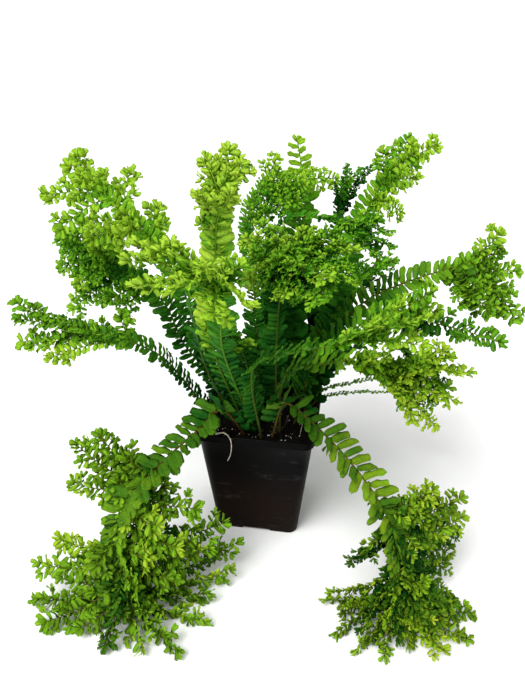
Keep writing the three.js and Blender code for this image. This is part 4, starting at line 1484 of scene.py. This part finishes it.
class FERN_OT_fronds(bpy.types.Operator):
    """Build the grown fronds, each with its rib, its leaflets and its crest"""

    bl_idname = "fern.fronds"
    bl_label = "Fronds"

    def execute(self, context):
        scene = context.scene
        look = scene.fern_fronds
        patterns = leaflet_patterns()
        green = leaf_material(look)
        leafages = {}
        for number, (name, row) in enumerate(FRONDS.items()):
            rng = np.random.default_rng(look.seed * 100 + number)
            leafages[name] = frond_leafage(COMMON | row, patterns, look, rng)
        paint_inner_shade(leafages.values(), look)
        for name, leafage in leafages.items():
            clump = leafage.gather(scene.fern_pot, scene.fern_soil)
            piece = clump.piece(name.replace("frond", "grown_frond"), green)
            if len(piece.data.polygons) < 200:
                raise RuntimeError(name + " has too few leaflets")
            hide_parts(name)
        return {"FINISHED"}


TEETH = 34  # leaflets of a young frond
YOUNG_RIB_RADII = (0.55 * MM, 0.3 * MM)


class FERN_OT_young_fronds(bpy.types.Operator):
    """Build the thin young fronds with their small teeth"""

    bl_idname = "fern.young_fronds"
    bl_label = "Young Fronds"

    def execute(self, context):
        scene = context.scene
        look = scene.fern_fronds
        patterns = leaflet_patterns()
        green = bpy.data.materials["fern_leaf"]
        for number, (name, path) in enumerate(YOUNG.items()):
            rng = np.random.default_rng(look.seed * 100 + 50 + number)
            leafage = Leafage(patterns, look, rng, 0.4, 0.5)
            line = rib_line(path, 0)
            leafage.rib("rib", line, YOUNG_RIB_RADII, 0.45, 0.5)
            shares = np.linspace(0.3, 0.99, TEETH)
            lengths = 4 * MM * (1.15 - 0.4 * shares) * rng.uniform(0.8, 1.2, TEETH)
            tones = 0.66 + 0.15 * shares
            leafage.rank("finger", line, shares, alternating(TEETH), lengths, 0.4, tones, 0.5, 0.15, 0.2)
            leafage.fan(line, 3 * MM * np.ones(3), 0.62, 0.6, 0.27)
            piece = leafage.gather(scene.fern_pot, scene.fern_soil).piece(name + "_leaflets", green)
            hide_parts(name)
        return {"FINISHED"}


ACROSS = np.array((1.0, 0, 0))  # the side of stalks and roots
STALK_HAIR_RADII = (0.14 * MM, 0.07 * MM)
ROOT_HAIR_RADII = (0.12 * MM, 0.06 * MM)
FINE_ROOT_RADII = (0.42 * MM, 0.25 * MM)


class FERN_OT_old_stalks(bpy.types.Operator):
    """Build the old leafless stalks and the scales at the feet of the ribs"""

    bl_idname = "fern.old_stalks"
    bl_label = "Old Stalks"

    def execute(self, context):
        look = context.scene.fern_small
        rng = np.random.default_rng(21)
        bark = fibre_material("old_stalk", look.stalk, 0.3)
        tube = strand_pattern(14, 7)
        for name, path in OLD_STALKS.items():
            line = Line(through(path), ACROSS)
            places = strands(tube, [line], [(look.stalk_radius, 0.6 * look.stalk_radius)])
            places[0] += rng.normal(0, 0.09 * MM, places[0].shape)
            clump = Clump()
            clump.add(tube, places)
            piece = clump.piece(name + "_bark", bark)
            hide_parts(name)
        scale, hair = LEAFLETS["oval"](0), strand_pattern(5, 4)
        rows, hairs = [], []
        for row in FRONDS.values():
            line = rib_line(row["path"], 0)
            count = look.scales
            shares = rng.uniform(6, 22, count) * MM / line.length
            turn = rng.uniform(0, 2 * math.pi, (count, 1))
            place, along, side, away = around(line, shares, turn)
            out = unit(away * 0.6 + along)
            rows.append((place + away * 0.9 * MM, out, away, rng.uniform(2, 4.5, count) * MM, turn[:, 0]))
            for share in rng.uniform(8, 30, look.hairs) * MM / line.length:
                place, along, side, away = around(line, share, rng.uniform(0, 2 * math.pi))
                end = place + (away * 2.6 + along * rng.uniform(-1, 2)) * MM * rng.uniform(0.6, 1.6)
                hairs.append(Line(bowed(place, place + away * 1.2 * MM, end, 6), side))
        place, out, up, length, turn = (np.concatenate(column) for column in zip(*rows))
        flat = np.zeros(len(place))
        clump = Clump()
        places = blades(scale, place, out, up, length, 0.16 * length, flat, flat + 0.2, flat, 0.2 * MM)
        clump.add(scale, places)
        clump.add(hair, strands(hair, hairs, [STALK_HAIR_RADII] * len(hairs)))
        brown = fibre_material("scale", look.scale, 0.25)
        clump.piece("stem_scales", brown)
        return {"FINISHED"}


class FERN_OT_roots(bpy.types.Operator):
    """Build the bare root over the rim and the fine roots by it"""

    bl_idname = "fern.roots"
    bl_label = "Roots"

    def execute(self, context):
        look = context.scene.fern_small
        rng = np.random.default_rng(33)
        pale = fibre_material("bare_root", look.root, 0.4)
        tube, hair = strand_pattern(40, 7), strand_pattern(6, 4)
        line = Line(through(ROOT), ACROSS)
        places = strands(tube, [line], [(look.root_radius, 0.62 * look.root_radius)])
        places[0] += rng.normal(0, 0.07 * MM, places[0].shape)
        clump = Clump()
        clump.add(tube, places)
        hairs = []
        for share in rng.uniform(0.3, 0.97, look.root_hairs):
            place, along, side, away = around(line, share, rng.uniform(0, 2 * math.pi))
            end = place + (away * rng.uniform(0.5, 1.5) + along * 0.5) * MM
            hairs.append(Line(bowed(place, place + away * 0.5 * MM, end, 6), side))
        clump.add(hair, strands(hair, hairs, [ROOT_HAIR_RADII] * len(hairs)))
        piece = clump.piece("bare_root", pale)
        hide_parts("root_over_rim")
        inner = Clump()
        loose = [Line(through(path), ACROSS) for path in FINE_ROOTS]
        inner.add(tube, strands(tube, loose, [FINE_ROOT_RADII] * len(loose)))
        inner.piece("fine_roots", pale)
        return {"FINISHED"}


# ---------------------------------------------------------------- floor, camera and light


MIDDLE = (0, 0, 0.18)  # of the plant, where the lights point to
KEY_PLACE = (-0.5, -0.75, 1.4)
FILL_PLACE = (0.95, -0.7, 0.7)
FILL_SIZE = 1.2


def soft_light(name, kind, power, place):
    """A light at a place that points to the plant."""
    light = bpy.data.lights.new(name, kind)
    light.energy = power
    lamp = bpy.data.objects.new(name, light)
    lamp.location = place
    lamp.rotation_euler = (Vector(MIDDLE) - Vector(place)).to_track_quat("-Z", "Y").to_euler()
    bpy.context.scene.collection.objects.link(lamp)
    return light


def surround(look):
    """Even light from all round, and a plain pale backdrop where nothing stands."""
    world = bpy.data.worlds.new("soft_surround")
    world.use_nodes = True
    tree = world.node_tree
    sky = tree.nodes["Background"]
    backdrop = tree.nodes.new("ShaderNodeBackground")
    for node, strength in ((sky, look.sky), (backdrop, look.backdrop)):
        node.inputs["Color"].default_value = (1, 1, 1, 1)
        node.inputs["Strength"].default_value = strength
    both = tree.nodes.new("ShaderNodeMixShader")
    path = tree.nodes.new("ShaderNodeLightPath")
    tree.links.new(path.outputs["Is Camera Ray"], both.inputs[0])
    tree.links.new(sky.outputs[0], both.inputs[1])
    tree.links.new(backdrop.outputs[0], both.inputs[2])
    tree.links.new(both.outputs[0], tree.nodes["World Output"].inputs[0])
    return world


class FERN_OT_stage(bpy.types.Operator):
    """Set up the pale floor, the camera and the soft light"""

    bl_idname = "fern.stage"
    bl_label = "Stage"

    def execute(self, context):
        scene = context.scene
        look = scene.fern_stage
        bm = bmesh.new()
        bmesh.ops.create_circle(bm, cap_ends=True, segments=96, radius=look.floor_size)
        mesh = mesh_from(bm, "pale_floor")
        nodes = Nodes("pale_paper")
        nodes.bump(nodes.noise(900, 3), 0.05, 0.2 * MM)
        mesh.materials.append(nodes.finish(Base_Color=look.floor, Roughness=0.8, Specular_IOR_Level=0.2))
        floor = bpy.data.objects.new("pale_floor", mesh)
        scene.collection.objects.link(floor)
        scene.world = surround(look)
        key = soft_light("key_light", "SUN", look.key, KEY_PLACE)
        key.angle = look.spread
        fill = soft_light("fill_light", "AREA", look.fill, FILL_PLACE)
        fill.size = FILL_SIZE
        camera = bpy.data.cameras.new("camera")
        camera.lens = look.lens
        camera.sensor_width = 36
        camera.clip_start = 0.01
        view = bpy.data.objects.new("camera", camera)
        view.location = look.eye
        view.rotation_euler = look.turn
        scene.collection.objects.link(view)
        scene.camera = view
        scene.view_settings.view_transform = "Standard"
        scene.view_settings.look = "None"
        return {"FINISHED"}


# ---------------------------------------------------------------- add-on


SETTINGS = {
    "fern_pot": FernPotSettings,
    "fern_soil": FernSoilSettings,
    "fern_fronds": FernFrondSettings,
    "fern_small": FernSmallSettings,
    "fern_stage": FernStageSettings,
}

OPERATORS = (
    FERN_OT_pot,
    FERN_OT_soil,
    FERN_OT_fronds,
    FERN_OT_young_fronds,
    FERN_OT_old_stalks,
    FERN_OT_roots,
    FERN_OT_stage,
)


class FERN_PT_panel(bpy.types.Panel):
    """Lists the fern's pieces and their sizes and colours"""

    bl_idname = "FERN_PT_panel"
    bl_label = "Crested Button Fern"
    bl_space_type = "VIEW_3D"
    bl_region_type = "UI"
    bl_category = "Fern"

    def draw(self, context):
        for operator in OPERATORS:
            self.layout.operator(operator.bl_idname)
        for key, group in SETTINGS.items():
            box = self.layout.box()
            for name in group.__annotations__:
                box.prop(getattr(context.scene, key), name)


def register():
    for made in (*SETTINGS.values(), *OPERATORS, FERN_PT_panel):
        bpy.utils.register_class(made)
    for key, group in SETTINGS.items():
        setattr(bpy.types.Scene, key, PointerProperty(type=group))


def unregister():
    for key in SETTINGS:
        delattr(bpy.types.Scene, key)
    for made in (FERN_PT_panel, *reversed(OPERATORS), *SETTINGS.values()):
        bpy.utils.unregister_class(made)


def main():
    register()
    bpy.ops.fern.pot()
    bpy.ops.fern.soil()
    bpy.ops.fern.fronds()
    bpy.ops.fern.young_fronds()
    bpy.ops.fern.old_stalks()
    bpy.ops.fern.roots()
    bpy.ops.fern.stage()


if __name__ == "__main__":
    main()
